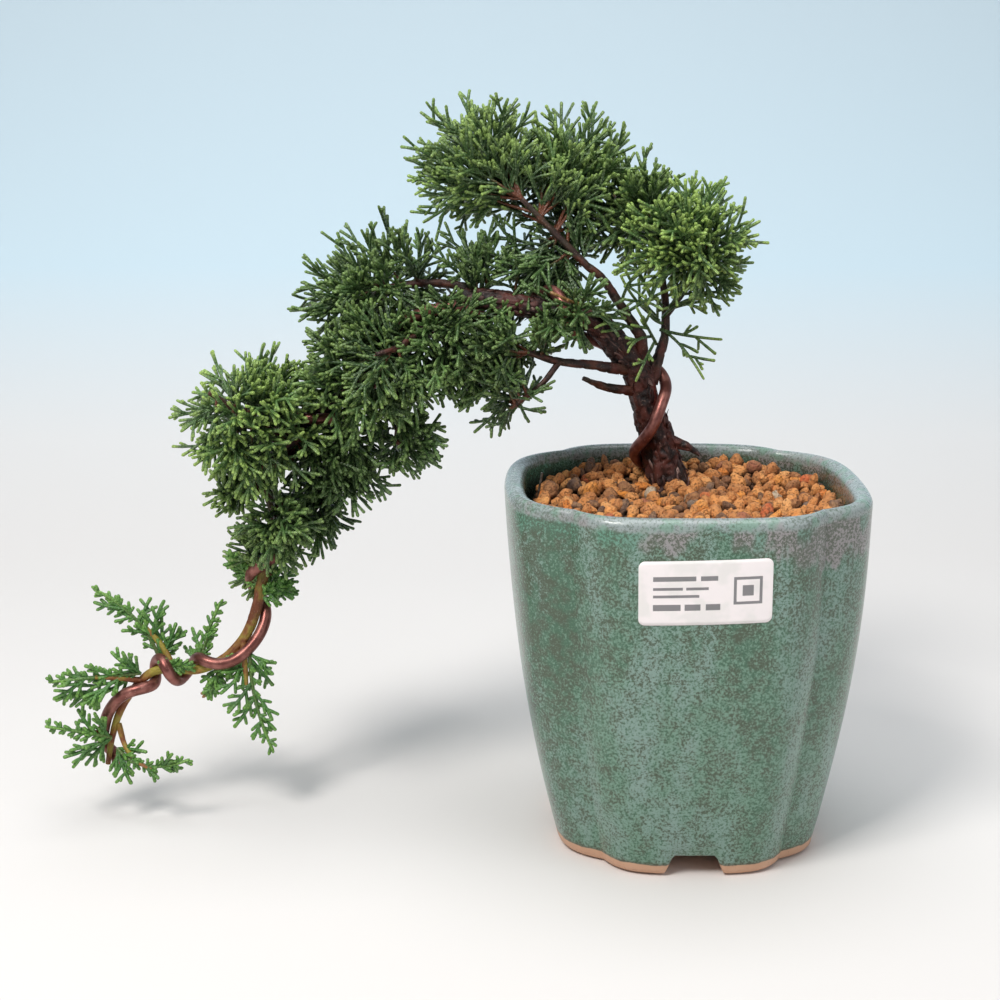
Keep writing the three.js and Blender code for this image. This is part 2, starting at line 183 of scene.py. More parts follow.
# mottle: soft-edged patches of noise, measured in millimetres
mottle = bpy.data.node_groups.new("mottle", "ShaderNodeTree")
for label, kind, value in (("Vector", "NodeSocketVector", None), ("Per mm", "NodeSocketFloat", 1.0),
                           ("Detail", "NodeSocketFloat", 2.0), ("Low", "NodeSocketFloat", 0.4),
                           ("High", "NodeSocketFloat", 0.6)):
    socket = mottle.interface.new_socket(label, in_out="INPUT", socket_type=kind)
    if value is not None:
        socket.default_value = value
mottle.interface.new_socket("Mask", in_out="OUTPUT", socket_type="NodeSocketFloat")
mottleIn = mottle.nodes.new("NodeGroupInput").outputs
mottleOut = mottle.nodes.new("NodeGroupOutput")
mottleScale = calc(mottle, "MULTIPLY", mottleIn["Per mm"], 1000.0)
mottleNoise = addNode(mottle, "ShaderNodeTexNoise", {
    "Vector": mottleIn["Vector"], "Scale": mottleScale, "Detail": mottleIn["Detail"]})
mottleBand = addNode(mottle, "ShaderNodeMapRange", {
    "Value": mottleNoise.outputs[0], "From Min": mottleIn["Low"], "From Max": mottleIn["High"]},
    interpolation_type="SMOOTHSTEP")
mottle.links.new(mottleBand.outputs[0], mottleOut.inputs[0])


def patches(tree, vector, perMm, low=0.4, high=0.6, detail=2.0):
    node = addNode(tree, "ShaderNodeGroup", node_tree=mottle)
    tree.links.new(vector, node.inputs["Vector"])
    for key, value in (("Per mm", perMm), ("Low", low), ("High", high), ("Detail", detail)):
        node.inputs[key].default_value = value
    return node.outputs[0]


def objectCoords(tree, stretch=(1, 1, 1), offset=(0, 0, 0)):
    coords = addNode(tree, "ShaderNodeTexCoord").outputs["Object"]
    mapping = addNode(tree, "ShaderNodeMapping", {"Vector": coords, "Scale": stretch, "Location": offset})
    return mapping.outputs[0]


# mesh helpers
def addMesh(name, points, faces, material=None):
    mesh = bpy.data.meshes.new(name)
    mesh.from_pydata([tuple(p) for p in points], [], faces)
    mesh.update()
    mesh.polygons.foreach_set("use_smooth", [True] * len(mesh.polygons))
    if material:
        mesh.materials.append(material)
    obj = bpy.data.objects.new(name, mesh)
    bpy.context.collection.objects.link(obj)
    return obj


def addAttribute(obj, name, values):
    obj.data.attributes.new(name, "FLOAT", "POINT").data.foreach_set("value", values)


def ringFaces(rows, count, closed=False):
    # quads between rows of a ring stack; rings run anticlockwise seen from the end they run towards
    faces = []
    for row in range(rows if closed else rows - 1):
        below, above = row * count, ((row + 1) % rows) * count
        for i in range(count):
            j = (i + 1) % count
            faces.append((below + i, below + j, above + j, above + i))
    return faces


def finishPiece(obj, slotName, *replaced):
    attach(obj, "root")
    if replaced:
        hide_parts(*replaced)
    return obj


def newTree(name, sockets):
    tree = bpy.data.node_groups.new(name, "GeometryNodeTree")
    tree.interface.new_socket("Geometry", in_out="INPUT", socket_type="NodeSocketGeometry")
    for label, kind, value in sockets:
        socket = tree.interface.new_socket(label, in_out="INPUT", socket_type=kind)
        if value is not None:
            socket.default_value = value
    tree.interface.new_socket("Geometry", in_out="OUTPUT", socket_type="NodeSocketGeometry")
    return tree, tree.nodes.new("NodeGroupInput").outputs, tree.nodes.new("NodeGroupOutput")


def grow(name, source, tree, values):
    # runs a geometry tree on a source object and keeps the result as a plain mesh
    modifier = source.modifiers.new("grow", "NODES")
    modifier.node_group = tree
    for item in tree.interface.items_tree:
        if item.item_type == "SOCKET" and item.in_out == "INPUT" and item.name in values:
            modifier[item.identifier] = values[item.name]
    graph = bpy.context.evaluated_depsgraph_get()
    mesh = bpy.data.meshes.new_from_object(source.evaluated_get(graph), preserve_all_data_layers=True,
                                           depsgraph=graph)
    mesh.name = name
    obj = bpy.data.objects.new(name, mesh)
    bpy.context.collection.objects.link(obj)
    source.modifiers.remove(modifier)
    bpy.data.objects.remove(source)
    return obj


# geometry tree: round shoots and wires along edges, thick as their "girth" attribute says
def makeTubeTree():
    tree, given, result = newTree("shootTubes", [("Sides", "NodeSocketInt", 5),
                                                 ("Material", "NodeSocketMaterial", None)])
    girth = addNode(tree, "GeometryNodeInputNamedAttribute", {"Name": "girth"}, data_type="FLOAT")
    line = addNode(tree, "GeometryNodeMeshToCurve", {"Mesh": given["Geometry"]})
    profile = addNode(tree, "GeometryNodeCurvePrimitiveCircle", {"Resolution": given["Sides"], "Radius": 1.0})
    place = addNode(tree, "GeometryNodeInputPosition")
    around = addNode(tree, "GeometryNodeStoreNamedAttribute",
                     {"Geometry": profile.outputs[0], "Name": "around"}, data_type="FLOAT_VECTOR")
    tree.links.new(place.outputs[0], around.inputs["Value"])
    skin = addNode(tree, "GeometryNodeCurveToMesh",
                   {"Curve": line.outputs[0], "Profile Curve": around.outputs[0],
                    "Scale": girth.outputs[0], "Fill Caps": True})
    shade = addNode(tree, "GeometryNodeSetShadeSmooth", {"Geometry": skin.outputs[0]})
    real = addNode(tree, "GeometryNodeRealizeInstances", {"Geometry": shade.outputs[0]})
    paint = addNode(tree, "GeometryNodeSetMaterial",
                    {"Geometry": real.outputs[0], "Material": given["Material"]})
    tree.links.new(paint.outputs[0], result.inputs[0])
    return tree


# geometry tree: loose pieces of a collection scattered on a surface
def makeScatterTree():
    tree, given, result = newTree("scatterLoose", [
        ("Pieces", "NodeSocketCollection", None), ("Spacing", "NodeSocketFloat", 0.003),
        ("Density", "NodeSocketFloat", 1e5), ("Smallest", "NodeSocketFloat", 0.001),
        ("Largest", "NodeSocketFloat", 0.002), ("Tumble", "NodeSocketFloat", 3.14),
        ("Seed", "NodeSocketInt", 1), ("Material", "NodeSocketMaterial", None)])
    points = addNode(tree, "GeometryNodeDistributePointsOnFaces",
                     {"Mesh": given["Geometry"], "Distance Min": given["Spacing"],
                      "Density Max": given["Density"], "Seed": given["Seed"]}, distribute_method="POISSON")
    size = addNode(tree, "FunctionNodeRandomValue",
                   {2: given["Smallest"], 3: given["Largest"], "Seed": given["Seed"]}, data_type="FLOAT")
    turn = addNode(tree, "FunctionNodeRandomValue",
                   {0: times(tree, given["Tumble"], -1.0), 1: given["Tumble"], "Seed": 7},
                   data_type="FLOAT_VECTOR")
    spin = addNode(tree, "FunctionNodeRotateRotation", {0: points.outputs["Rotation"], 1: turn.outputs[0]},
                   rotation_space="LOCAL")
    kinds = addNode(tree, "GeometryNodeCollectionInfo", {0: given["Pieces"], 1: True, 2: True})
    put = addNode(tree, "GeometryNodeInstanceOnPoints",
                  {"Points": points.outputs[0], "Instance": kinds.outputs[0],
                   "Pick Instance": True, "Rotation": spin.outputs[0], "Scale": size.outputs[1]})
    tone = addNode(tree, "FunctionNodeRandomValue", {2: 0.0, 3: 1.0, "Seed": 11}, data_type="FLOAT")
    mark = addNode(tree, "GeometryNodeStoreNamedAttribute",
                   {"Geometry": put.outputs[0], "Name": "tone", "Value": tone.outputs[1]},
                   data_type="FLOAT", domain="INSTANCE")
    real = addNode(tree, "GeometryNodeRealizeInstances", {"Geometry": mark.outputs[0]})
    paint = addNode(tree, "GeometryNodeSetMaterial",
                    {"Geometry": real.outputs[0], "Material": given["Material"]})
    tree.links.new(paint.outputs[0], result.inputs[0])
    return tree


tubeTree = makeTubeTree()
scatterTree = makeScatterTree()
print("helpers ready")


# pot
pot = {"height": 123, "rim": 59.9, "foot": 43.9, "wall": 6.5, "groove": (0.665, 0.66), "innerGroove": 0.70,
       "grooveDepth": 1.13, "front": 0.97, "lean": -1.9, "floor": 14, "archHeight": 6.5, "archWidth": 20,
       "archTop": 13, "recess": 7, "well": 31, "drain": 7, "perSide": 84, "clayBand": 3.7}


def potHalf(z):
    share = clamp(z / pot["height"])
    return pot["foot"] + (pot["rim"] - pot["foot"]) * (1.9 * share - 0.9 * share * share)


def grooveAt(z):
    # place of the corner groove as a share of the half width
    low, high = pot["groove"]
    return low + (high - low) * clamp(z / pot["height"])


def leanAt(z):
    # the handmade pot leans a little
    return pot["lean"] * (z / pot["height"] - 0.06)


def archLift(x):
    # height of the foot's lower edge above the table, along one side
    return pot["archHeight"] * (1 - smooth(pot["archTop"] / 2, pot["archWidth"] / 2, abs(x)))


def depthAt(z):
    # the front and back bulge a little less towards the rim
    return 1 + (pot["front"] - 1) * clamp(z / pot["height"])


def lobe(middle, end, place):
    # distance of a side from the axis; place runs from -1 to 1 between its two grooves
    return middle - (middle - end) * (0.22 * place ** 2 + 0.78 * place ** 6)


def potRow(half, groove, height, lift=0.0, wobble=0.0, circle=0.0):
    # one ring of the pot; lift 1 follows the arches, circle 1 is round
    row = []
    for side in range(4):
        turn = math.pi / 2 * side
        flank = side % 2 == 1
        across = half * groove * (pot["grooveDepth"] if flank else 1)
        end = half * groove * (1 if flank else pot["grooveDepth"])
        middle = half * (1 if flank else depthAt(height))
        for i in range(pot["perSide"]):
            place = math.sin(math.pi / 2 * (2 * i / pot["perSide"] - 1))
            x, y = across * place, -lobe(middle, end, place)
            z = height + lift * archLift(x)
            angle = math.atan2(y, x) + turn
            reach = math.hypot(x, y) * (1 - circle) + half * circle
            swell = noise.noise(Vector((math.cos(angle) * 1.6, math.sin(angle) * 1.6, z * 0.018)))
            reach += wobble * swell
            row.append(spot(reach * math.cos(angle) + leanAt(height), reach * math.sin(angle), z))
    return row


def buildPot():
    rows, bare, rimDistance = [], [], []

    def add(half, groove, height, lift=0.0, wobble=0.0, circle=0.0, clay=None, rim=60.0):
        rows.append(potRow(half, groove, height, lift, wobble, circle))
        bare.append(clay)
        rimDistance.append(rim)

    h, wall, lip = pot["height"], pot["wall"], pot["wall"] / 2
    inner, well = pot["innerGroove"], pot["well"]
    underside = 6.0
    add(pot["drain"], 0.8, pot["recess"] + 0.6, circle=1, clay=underside)
    add(pot["drain"] + 0.6, 0.8, pot["recess"], circle=1, clay=underside)
    for step in range(1, 7):
        share = step / 7
        reach = pot["drain"] + (well - pot["drain"]) * share
        add(reach, 0.8, pot["recess"], circle=1 - share, clay=underside)
    add(well + 0.6, 0.8, pot["recess"] - 0.1, clay=underside)
    add(well + 1.6, 0.8, pot["recess"] - 0.3, clay=underside)
    add(well + 2, 0.8, 0.45, lift=0.98, clay=underside)
    add(well + 2.5, 0.8, 0.0, lift=1, clay=underside)
    add(pot["foot"] - 1.1, grooveAt(0), 0.0, lift=1, clay=underside)
    add(pot["foot"] - 0.4, grooveAt(0), 0.25, lift=0.985, clay=None)
    add(potHalf(1), grooveAt(1), 1.0, lift=0.95, wobble=0.3)
    for z, lift in ((2, 0.86), (3, 0.78), (4, 0.7), (5.2, 0.6), (6.5, 0.5), (8, 0.38), (10, 0.2), (12, 0.08)):
        add(potHalf(z), grooveAt(z), z, lift=lift, wobble=0.5)
    z = 14.0
    while z < h - lip - 0.5:
        add(potHalf(z), grooveAt(z), z, wobble=0.6, rim=h - z)
        z += 2.2
    steps = 14
    for step in range(steps + 1):
        angle = math.pi * step / steps
        add(pot["rim"] - lip * (1 - math.cos(angle)), grooveAt(h) + (inner - grooveAt(h)) * step / steps,
            h - lip + lip * math.sin(angle), wobble=0.5, rim=2.4 * (1 - 2 * step / steps))
    z = h - lip - 2.0
    while z > pot["floor"] + 3:
        add(potHalf(z) - wall, inner, z, wobble=0.4, rim=z - h)
        z -= 3 if z > 105 else 12
    add(potHalf(16) - wall, inner, pot["floor"] + 1, rim=-90)
    add(potHalf(14) - wall - 1.5, inner, pot["floor"], rim=-90)
    add(20, 0.8, pot["floor"], circle=0.6, clay=underside)
    add(pot["drain"] + 0.6, 0.8, pot["floor"], circle=1, clay=underside)
    add(pot["drain"], 0.8, pot["floor"] - 0.6, circle=1, clay=underside)
    add(pot["drain"], 0.8, pot["recess"] + 2, circle=1, clay=underside)
    count = 4 * pot["perSide"]
    points = [p for row in rows for p in row]
    obj = addMesh("pot_body", points, ringFaces(len(rows), count, closed=True), glazeMaterial())
    clayValues, rimValues = [], []
    for row, clay, rim in zip(rows, bare, rimDistance):
        for p in row:
            # clay is bare where this is above zero
            clayValues.append(pot["clayBand"] - p.z / mm if clay is None else clay)
            rimValues.append(rim)
    addAttribute(obj, "bareClay", clayValues)
    addAttribute(obj, "fromRim", rimValues)
    return finishPiece(obj, "glaze", "pot")


glaze = {"olive": (0.060, 0.086, 0.050), "green": (0.048, 0.128, 0.074), "light": (0.170, 0.300, 0.222),
         "pale": (0.225, 0.335, 0.292), "lilac": (0.31, 0.285, 0.29), "turquoise": (0.085, 0.300, 0.205),
         "rim": (0.300, 0.345, 0.340), "inside": (0.042, 0.060, 0.044), "clay": (0.56, 0.31, 0.19),
         "line": (0.07, 0.065, 0.035)}


def glazeMaterial():
    material, tree, shader = newMaterial("speckled_glaze", 0.3, Coat_Weight=0.25, Coat_Roughness=0.12,
                                         IOR=1.5)
    coords = objectCoords(tree)
    # dark crystals float in a paler glaze; how much they cover changes in soft upright streaks
    streak = roughNoise(tree, objectCoords(tree, stretch=(1, 1, 0.3)), 0.075, 4, 0.55)
    cloud = roughNoise(tree, objectCoords(tree, offset=(0.7, 0.3, 0.5)), 0.20, 3)
    level = plus(tree, 0.493, times(tree, minus(tree, streak, 0.5), -0.24))
    level = plus(tree, level, times(tree, minus(tree, cloud, 0.5), -0.12))
    # more of them on the upper front; the left lobe is made darker the same way
    place = addNode(tree, "ShaderNodeSeparateXYZ", {0: objectCoords(tree, offset=(-potX, -potY, 0))}).outputs
    level = plus(tree, level, times(tree, band(tree, place["Z"], 45 * mm, 105 * mm), 0.035))
    level = plus(tree, level, times(tree, band(tree, place["X"], -33 * mm, -44 * mm), 0.05))
    crystals = roughNoise(tree, coords, 1.2, 5, 0.72)
    over = minus(tree, crystals, level)
    pale = band(tree, over, -0.05, 0.055)
    fine = roughNoise(tree, objectCoords(tree, offset=(0.3, 0.1, 0.2)), 1.7, 3, 0.6)
    ground = blendColour(tree, band(tree, cloud, 0.4, 0.62), glaze["olive"], glaze["green"])
    frost = blendColour(tree, band(tree, streak, 0.45, 0.66), glaze["light"], glaze["pale"])
    frost = blendColour(tree, band(tree, fine, 0.56, 0.62), frost, glaze["green"], share=0.55)
    ground = blendColour(tree, band(tree, fine, 0.44, 0.38), ground, glaze["light"], share=0.4)
    body = blendColour(tree, pale, ground, frost)
    # below the rim: turquoise pools, and lilac-grey with dark specks that reaches lower towards the right
    fromRim = attribute(tree, "fromRim")
    across = times(tree, place["X"], 1 / mm)
    ragged = minus(tree, roughNoise(tree, objectCoords(tree, stretch=(1, 1, 0.5)), 0.09, 4, 0.6), 0.5)
    deep = plus(tree, 7.0, times(tree, band(tree, across, 5.0, 50.0), 9.0))
    reach = minus(tree, plus(tree, fromRim, times(tree, ragged, 34.0)), deep)
    upper = band(tree, reach, 2.5, -2.5)
    lilac = blendColour(tree, band(tree, over, 0.02, -0.06), glaze["lilac"], glaze["olive"], share=0.85)
    body = blendColour(tree, times(tree, upper, band(tree, across, -40.0, -8.0)), body, lilac)
    upright = objectCoords(tree, stretch=(1, 1, 0.4), offset=(0.2, 0.6, 0.1))
    pool = band(tree, roughNoise(tree, upright, 0.07, 2), 0.52, 0.58)
    pool = calc(tree, "MAXIMUM", pool, band(tree, across, -42.0, -52.0))
    near = band(tree, plus(tree, fromRim, times(tree, ragged, 30.0)), 9.5, 6.0)
    turquoise = blendColour(tree, band(tree, over, 0.0, -0.07), glaze["turquoise"],
                            glaze["olive"], share=0.8)
    body = blendColour(tree, times(tree, pool, near), body, turquoise, share=0.6)
    # the glaze is thin and smooth over the roll of the rim
    edge = calc(tree, "ABSOLUTE", plus(tree, fromRim, times(tree, ragged, 5.0)))
    rimMask = band(tree, edge, 3.8, 1.9)
    rimColour = blendColour(tree, band(tree, cloud, 0.48, 0.62), glaze["rim"], glaze["light"], share=0.7)
    rimColour = blendColour(tree, band(tree, streak, 0.55, 0.68), rimColour, glaze["lilac"])
    rimColour = blendColour(tree, band(tree, over, -0.05, -0.12), rimColour, glaze["olive"], share=0.6)
    body = blendColour(tree, rimMask, body, rimColour)
    insideMask = band(tree, fromRim, -3.0, -9.0)
    body = blendColour(tree, insideMask, body, blendColour(tree, pale, glaze["inside"], glaze["green"]))
    # bare clay feet with a dark line where the glaze stops
    clayEdge = plus(tree, attribute(tree, "bareClay"), times(tree, minus(tree, cloud, 0.5), 1.6))
    clayMask = band(tree, clayEdge, -0.15, 0.15)
    lineMask = band(tree, clayEdge, -1.3, -0.1)
    body = blendColour(tree, lineMask, body, glaze["line"], share=0.75)
    clay = blendColour(tree, cloud, glaze["clay"], (0.68, 0.42, 0.28))
    clay = blendColour(tree, band(tree, fine, 0.66, 0.7), clay, (0.14, 0.07, 0.045), share=0.75)
    colour = blendColour(tree, clayMask, body, clay)
    rough = plus(tree, times(tree, clayMask, 0.5), times(tree, pale, 0.12))
    rough = plus(tree, rough, 0.24)
    feed(tree, shader, Base_Color=colour, Roughness=rough)
    bump(tree, shader, plus(tree, fine, times(tree, crystals, 0.9)), 0.12, 0.5)
    return material


buildPot()
print("pot built")

# granular soil
soil = {"level": 112, "rise": 4, "from": 12, "to": 48, "trunk": (-3, 30), "clear": 5.6,
        "tones": [(0.0, (0.13, 0.065, 0.038)), (0.07, (0.27, 0.120, 0.055)), (0.2, (0.48, 0.190, 0.066)),
                  (0.45, (0.64, 0.250, 0.074)), (0.65, (0.75, 0.310, 0.092)), (0.8, (0.82, 0.39, 0.140)),
                  (0.88, (0.76, 0.27, 0.040)), (0.92, (0.55, 0.12, 0.040)), (0.95, (0.22, 0.13, 0.085)),
                  (0.992, (0.13, 0.080, 0.065)), (1.0, (0.58, 0.47, 0.34))]}
# layers of stones: spacing, smallest and largest radius, seed, inset from the wall, height above the bed
stoneLayers = {"granules_low": (3.0, 1.0, 1.7, 3, 1.6, -1.0), "granules_main": (4.4, 1.8, 2.75, 8, 2.7, 0.3),
               "granules_top": (7.4, 2.2, 3.1, 12, 3.9, 1.5)}


def soilHeight(x, y):
    lump = noise.noise(Vector((x * 0.08, y * 0.08, 3.1)))
    return soil["level"] + soil["rise"] * smooth(soil["from"], soil["to"], y) + 0.8 * lump


def soilRows(inset, ringsIn):
    rows = []
    half = potHalf(soil["level"]) - pot["wall"] - inset
    for step in range(ringsIn):
        share = 1 - step / ringsIn
        row = potRow(half * share, pot["innerGroove"], 0)
        for p in row:
            p.z = soilHeight((p.x - potX) / mm, (p.y - potY) / mm) * mm
        rows.append(row)
    return rows


def buildSoil():
    heights = (pot["floor"] + 0.6, 40, 80, 108)
    rows = [potRow(potHalf(z) - pot["wall"] - 0.4, pot["innerGroove"], z) for z in heights]
    for row in soilRows(0.4, 14):
        rows.append([p - Vector((0, 0, 1.3 * mm)) for p in row])
    count = len(rows[0])
    points = [p for row in rows for p in row]
    faces = ringFaces(len(rows), count)
    points.append(sum(rows[0], Vector()) / count)
    points.append(sum(rows[-1], Vector()) / count)
    last = (len(rows) - 1) * count
    for i in range(count):
        j = (i + 1) % count
        faces.append((len(points) - 2, j, i))
        faces.append((len(points) - 1, last + i, last + j))
    bed = addMesh("soil_bed", points, faces, bedMaterial())
    finishPiece(bed, "granules", "substrate")


def stoneKinds(name, count, seed, flatness, keepShare):
    # a few crushed-clay lumps, each a low ball pushed about and nicked by planes
    rng = random.Random(seed)
    kinds = bpy.data.collections.new(name)
    bpy.context.scene.collection.children.link(kinds)
    for index in range(count):
        bpy.ops.mesh.primitive_ico_sphere_add(subdivisions=3, radius=1)
        stone = bpy.context.object
        stone.name = f"{name}_{index}"
        for owner in list(stone.users_collection):
            owner.objects.unlink(stone)
        kinds.objects.link(stone)
        stretch = Vector((rng.uniform(0.95, 1.5), rng.uniform(0.8, 1.1), rng.uniform(*flatness)))
        cuts = []
        for cut in range(7):
            normal = Vector((rng.gauss(0, 1), rng.gauss(0, 1), rng.gauss(0, 1))).normalized()
            cuts.append((normal, rng.uniform(0.6, 0.9)))
        shift = rng.uniform(0, 50)
        for vertex in stone.data.vertices:
            p = vertex.co.copy()
            for normal, depth in cuts:
                over = p.dot(normal) - depth
                if over > 0:
                    p -= normal * over * 0.85
            lump = 0.10 * noise.noise(p * 1.7 + Vector((shift, 0, 0)))
            p *= 1 + lump + 0.05 * noise.noise(p * 4.5 + Vector((0, shift, 0)))
            vertex.co = Vector((p.x * stretch.x, p.y * stretch.y, p.z * stretch.z))
        stone.data.polygons.foreach_set("use_smooth", [True] * len(stone.data.polygons))
        decimate = stone.modifiers.new("fewer", "DECIMATE")
        decimate.ratio = keepShare
        graph = bpy.context.evaluated_depsgraph_get()
        fewer = bpy.data.meshes.new_from_object(stone.evaluated_get(graph))
        stone.modifiers.remove(decimate)
        stone.data = fewer
    return kinds


def dropKinds(kinds):
    for obj in list(kinds.objects):
        bpy.data.objects.remove(obj)
    bpy.data.collections.remove(kinds)


def scatterStones():
    coarse = stoneKinds("stoneKind", 8, 5, (0.6, 0.95), 0.22)
    low = stoneKinds("chipKind", 6, 9, (0.6, 0.95), 0.13)
    paint = stoneMaterial()
    for name, (spacing, small, large, seed, inset, raised) in stoneLayers.items():
        rows = soilRows(inset, 16)
        count = len(rows[0])
        points = [p + Vector((0, 0, raised * mm)) for row in rows for p in row]
        points.append(sum(points[-count:], Vector()) / count)
        faces = ringFaces(len(rows), count)
        last = (len(rows) - 1) * count
        faces += [(len(points) - 1, last + i, last + (i + 1) % count) for i in range(count)]
        keep = []
        for face in faces:
            middle = sum((points[i] for i in face), Vector()) / len(face)
            x = (middle.x - potX) / mm - soil["trunk"][0]
            y = (middle.y - potY) / mm - soil["trunk"][1]
            if math.hypot(x, y) > soil["clear"] + small * 0.4:
                keep.append(face)
        ground = addMesh("ground", points, keep)
        stones = grow(name, ground, scatterTree, {
            "Pieces": low if name == "granules_low" else coarse, "Spacing": spacing * mm, "Density": 4e5,
            "Smallest": small * mm, "Largest": large * mm, "Seed": seed, "Material": paint})
        finishPiece(stones, "granules")
        print(name, len(stones.data.polygons))
    dropKinds(coarse)
    dropKinds(low)


def bedMaterial():
    material, tree, shader = newMaterial("soil_bed", 0.95)
    coords = objectCoords(tree)
    # the bed shows only in the gaps between granules and is near black: painted shade
    colour = blendColour(tree, patches(tree, coords, 0.7), (0.018, 0.010, 0.006), (0.07, 0.035, 0.018))
    feed(tree, shader, Base_Color=colour)
    bump(tree, shader, patches(tree, coords, 0.5, 0.3, 0.7, 4), 0.8)
    return material


def stoneMaterial():
    material, tree, shader = newMaterial("baked_granules", 0.85)
    coords = objectCoords(tree)
    tone = attribute(tree, "tone")
    colour = ramp(tree, tone, soil["tones"])
    dust = patches(tree, coords, 0.5, 0.4, 0.68, 3)
    colour = blendColour(tree, dust, colour, (0.60, 0.32, 0.13), share=0.3)
    pits = patches(tree, coords, 1.3, 0.54, 0.68, 3)
    colour = blendColour(tree, pits, colour, (0.13, 0.058, 0.024), share=0.6)
    # painted shade: stones low in the bed, between and under the others, are darkened
    place = addNode(tree, "ShaderNodeSeparateXYZ", {0: objectCoords(tree, offset=(-potX, -potY, 0))}).outputs
    level = addNode(tree, "ShaderNodeMapRange", {
        "Value": place["Y"], "From Min": soil["from"] * mm, "From Max": soil["to"] * mm,
        "To Min": soil["level"] * mm, "To Max": (soil["level"] + soil["rise"]) * mm},
        interpolation_type="SMOOTHSTEP")
    deep = band(tree, minus(tree, place["Z"], level.outputs[0]), 1.5 * mm, -1.0 * mm)
    colour = blendColour(tree, deep, colour, (0.035, 0.017, 0.010), share=0.85)
    feed(tree, shader, Base_Color=colour)
    bump(tree, shader, minus(tree, patches(tree, coords, 0.9, 0.3, 0.7, 4), pits), 0.35)
    return material


buildSoil()
scatterStones()
print("soil built")


# routes of the wood, in millimetres round the pot's axis: x, y, z and radius
trunkRoute = [
    (3, 30, 92, 5), (-1, 30, 106, 7.4), (-4, 30, 115, 6.5), (-8, 30, 130, 6), (-13, 29, 144, 5),
    (-16, 28, 154, 5), (-22, 26, 162, 4.7), (-28, 24, 169, 4.3), (-35, 22, 174, 4.1), (-43, 21, 176, 4),
    (-52, 22, 177, 3.9), (-64, 24, 179, 3.7), (-76, 25, 179, 3.5), (-88, 24, 171, 3.4),
    (-99, 22, 161, 3.2), (-113, 20, 150, 3.1), (-126, 18, 140, 2.9), (-138, 18, 130, 2.8),
    (-143, 18, 117, 2.6), (-140.5, 18, 103, 2.4), (-145, 16, 88, 2.2), (-148.4, 14, 73, 1.9),
    (-152.5, 12, 63, 1.8), (-160, 10, 55.5, 1.7), (-169, 9, 52, 1.6), (-177, 8, 52.5, 1.6),
    (-184, 7, 52, 1.5), (-190.5, 6, 46.5, 1.4), (-196.5, 6, 37, 1.3), (-200, 6, 26, 1.1),
    (-201.5, 6, 18, 0.9)]
spurRoute = [(-4, 29, 129, 2.6), (1, 28, 128, 1.7), (4, 27.5, 126.6, 1.1), (6.5, 27, 124.8, 0.6)]
branchRoutes = {
    "branch_crown_left": [
        [(-15, 28, 157, 2.7), (-15, 26, 166, 2), (-20, 25, 174, 1.7), (-24, 24, 180, 1.5),
         (-28, 24, 186, 1.4), (-35, 24, 192, 1.3), (-44, 25, 201, 1.2), (-56, 27, 213, 0.8)]],
    "branch_crown_right": [
        [(-11, 29, 150, 2.6), (-8, 32, 159, 1.9), (-6, 34, 166, 1.5), (-6, 36, 178, 1.3),
         (-8, 37, 190, 1.1), (-11, 38, 204, 0.8)],
        [(-6, 35, 172, 1.2), (1, 32, 183, 1), (6, 28, 196, 0.8)]],
    "branch_low_left": [
        [(-18, 27, 155, 2.2), (-25, 21, 156.5, 1.9), (-32, 18, 158, 1.6), (-44, 14, 160, 1.3),
         (-54, 10, 163.5, 0.9)],
        [(-43, 14, 160, 1.1), (-49, 11, 153, 1), (-58, 9, 146, 0.8)]],
    "dead_stub": [
        [(-15, 28, 147.5, 2.2), (-22, 24, 148.5, 1.5), (-29, 21, 150.5, 1.3), (-35, 18, 153.5, 0.8)]],
    "branch_upper_left": [
        [(-66, 24, 179, 2), (-75, 29, 183, 1.6), (-88, 34, 184, 1.3), (-103, 38, 182, 0.9)]],
    "branch_middle": [
        [(-88, 24, 170, 1.9), (-92, 16, 168, 1.5), (-98, 9, 165, 1), (-104, 3, 164, 0.8)]],
    "branch_drooping": [
        [(-99, 22, 161, 1.7), (-99, 20, 153, 1.5), (-98, 19, 142, 1.2), (-99, 19, 132, 0.8)]],
    "branch_behind": [
        [(-113, 20, 150, 1.8), (-116, 27, 140, 1.5), (-122, 33, 122, 1.2), (-127, 35, 106, 0.8)]],
    "branch_left": [
        [(-138, 18, 131, 2), (-145, 13, 138, 1.6), (-153, 8, 145, 1.2), (-160, 4, 151, 0.8)]],
    "branch_lower_left": [
        [(-142, 18, 117, 1.6), (-149, 17, 114, 1.3), (-156, 17, 112, 0.9)]],
    "twig_hanging": [
        [(-153, 12, 63, 1.4), (-152.5, 9, 56, 1.2), (-152, 8, 46, 0.8)]],
    "twig_rising": [
        [(-177, 8, 52.5, 1.3), (-181.5, 11, 60, 1.1), (-188, 13, 67, 0.8)]],
    "twig_left": [
        [(-188, 6, 49, 1.2), (-195, 3, 51, 1), (-203, 1, 52, 0.7)]],
    "twig_tip_left": [
        [(-200, 6, 28, 1), (-204, 3, 31, 0.8), (-209, 1, 32, 0.6)]],
    "twig_tip_right": [
        [(-197, 6, 33, 1.1), (-194, 2, 26, 0.9), (-189, -2, 22, 0.7), (-184, -4, 20, 0.6)]]}


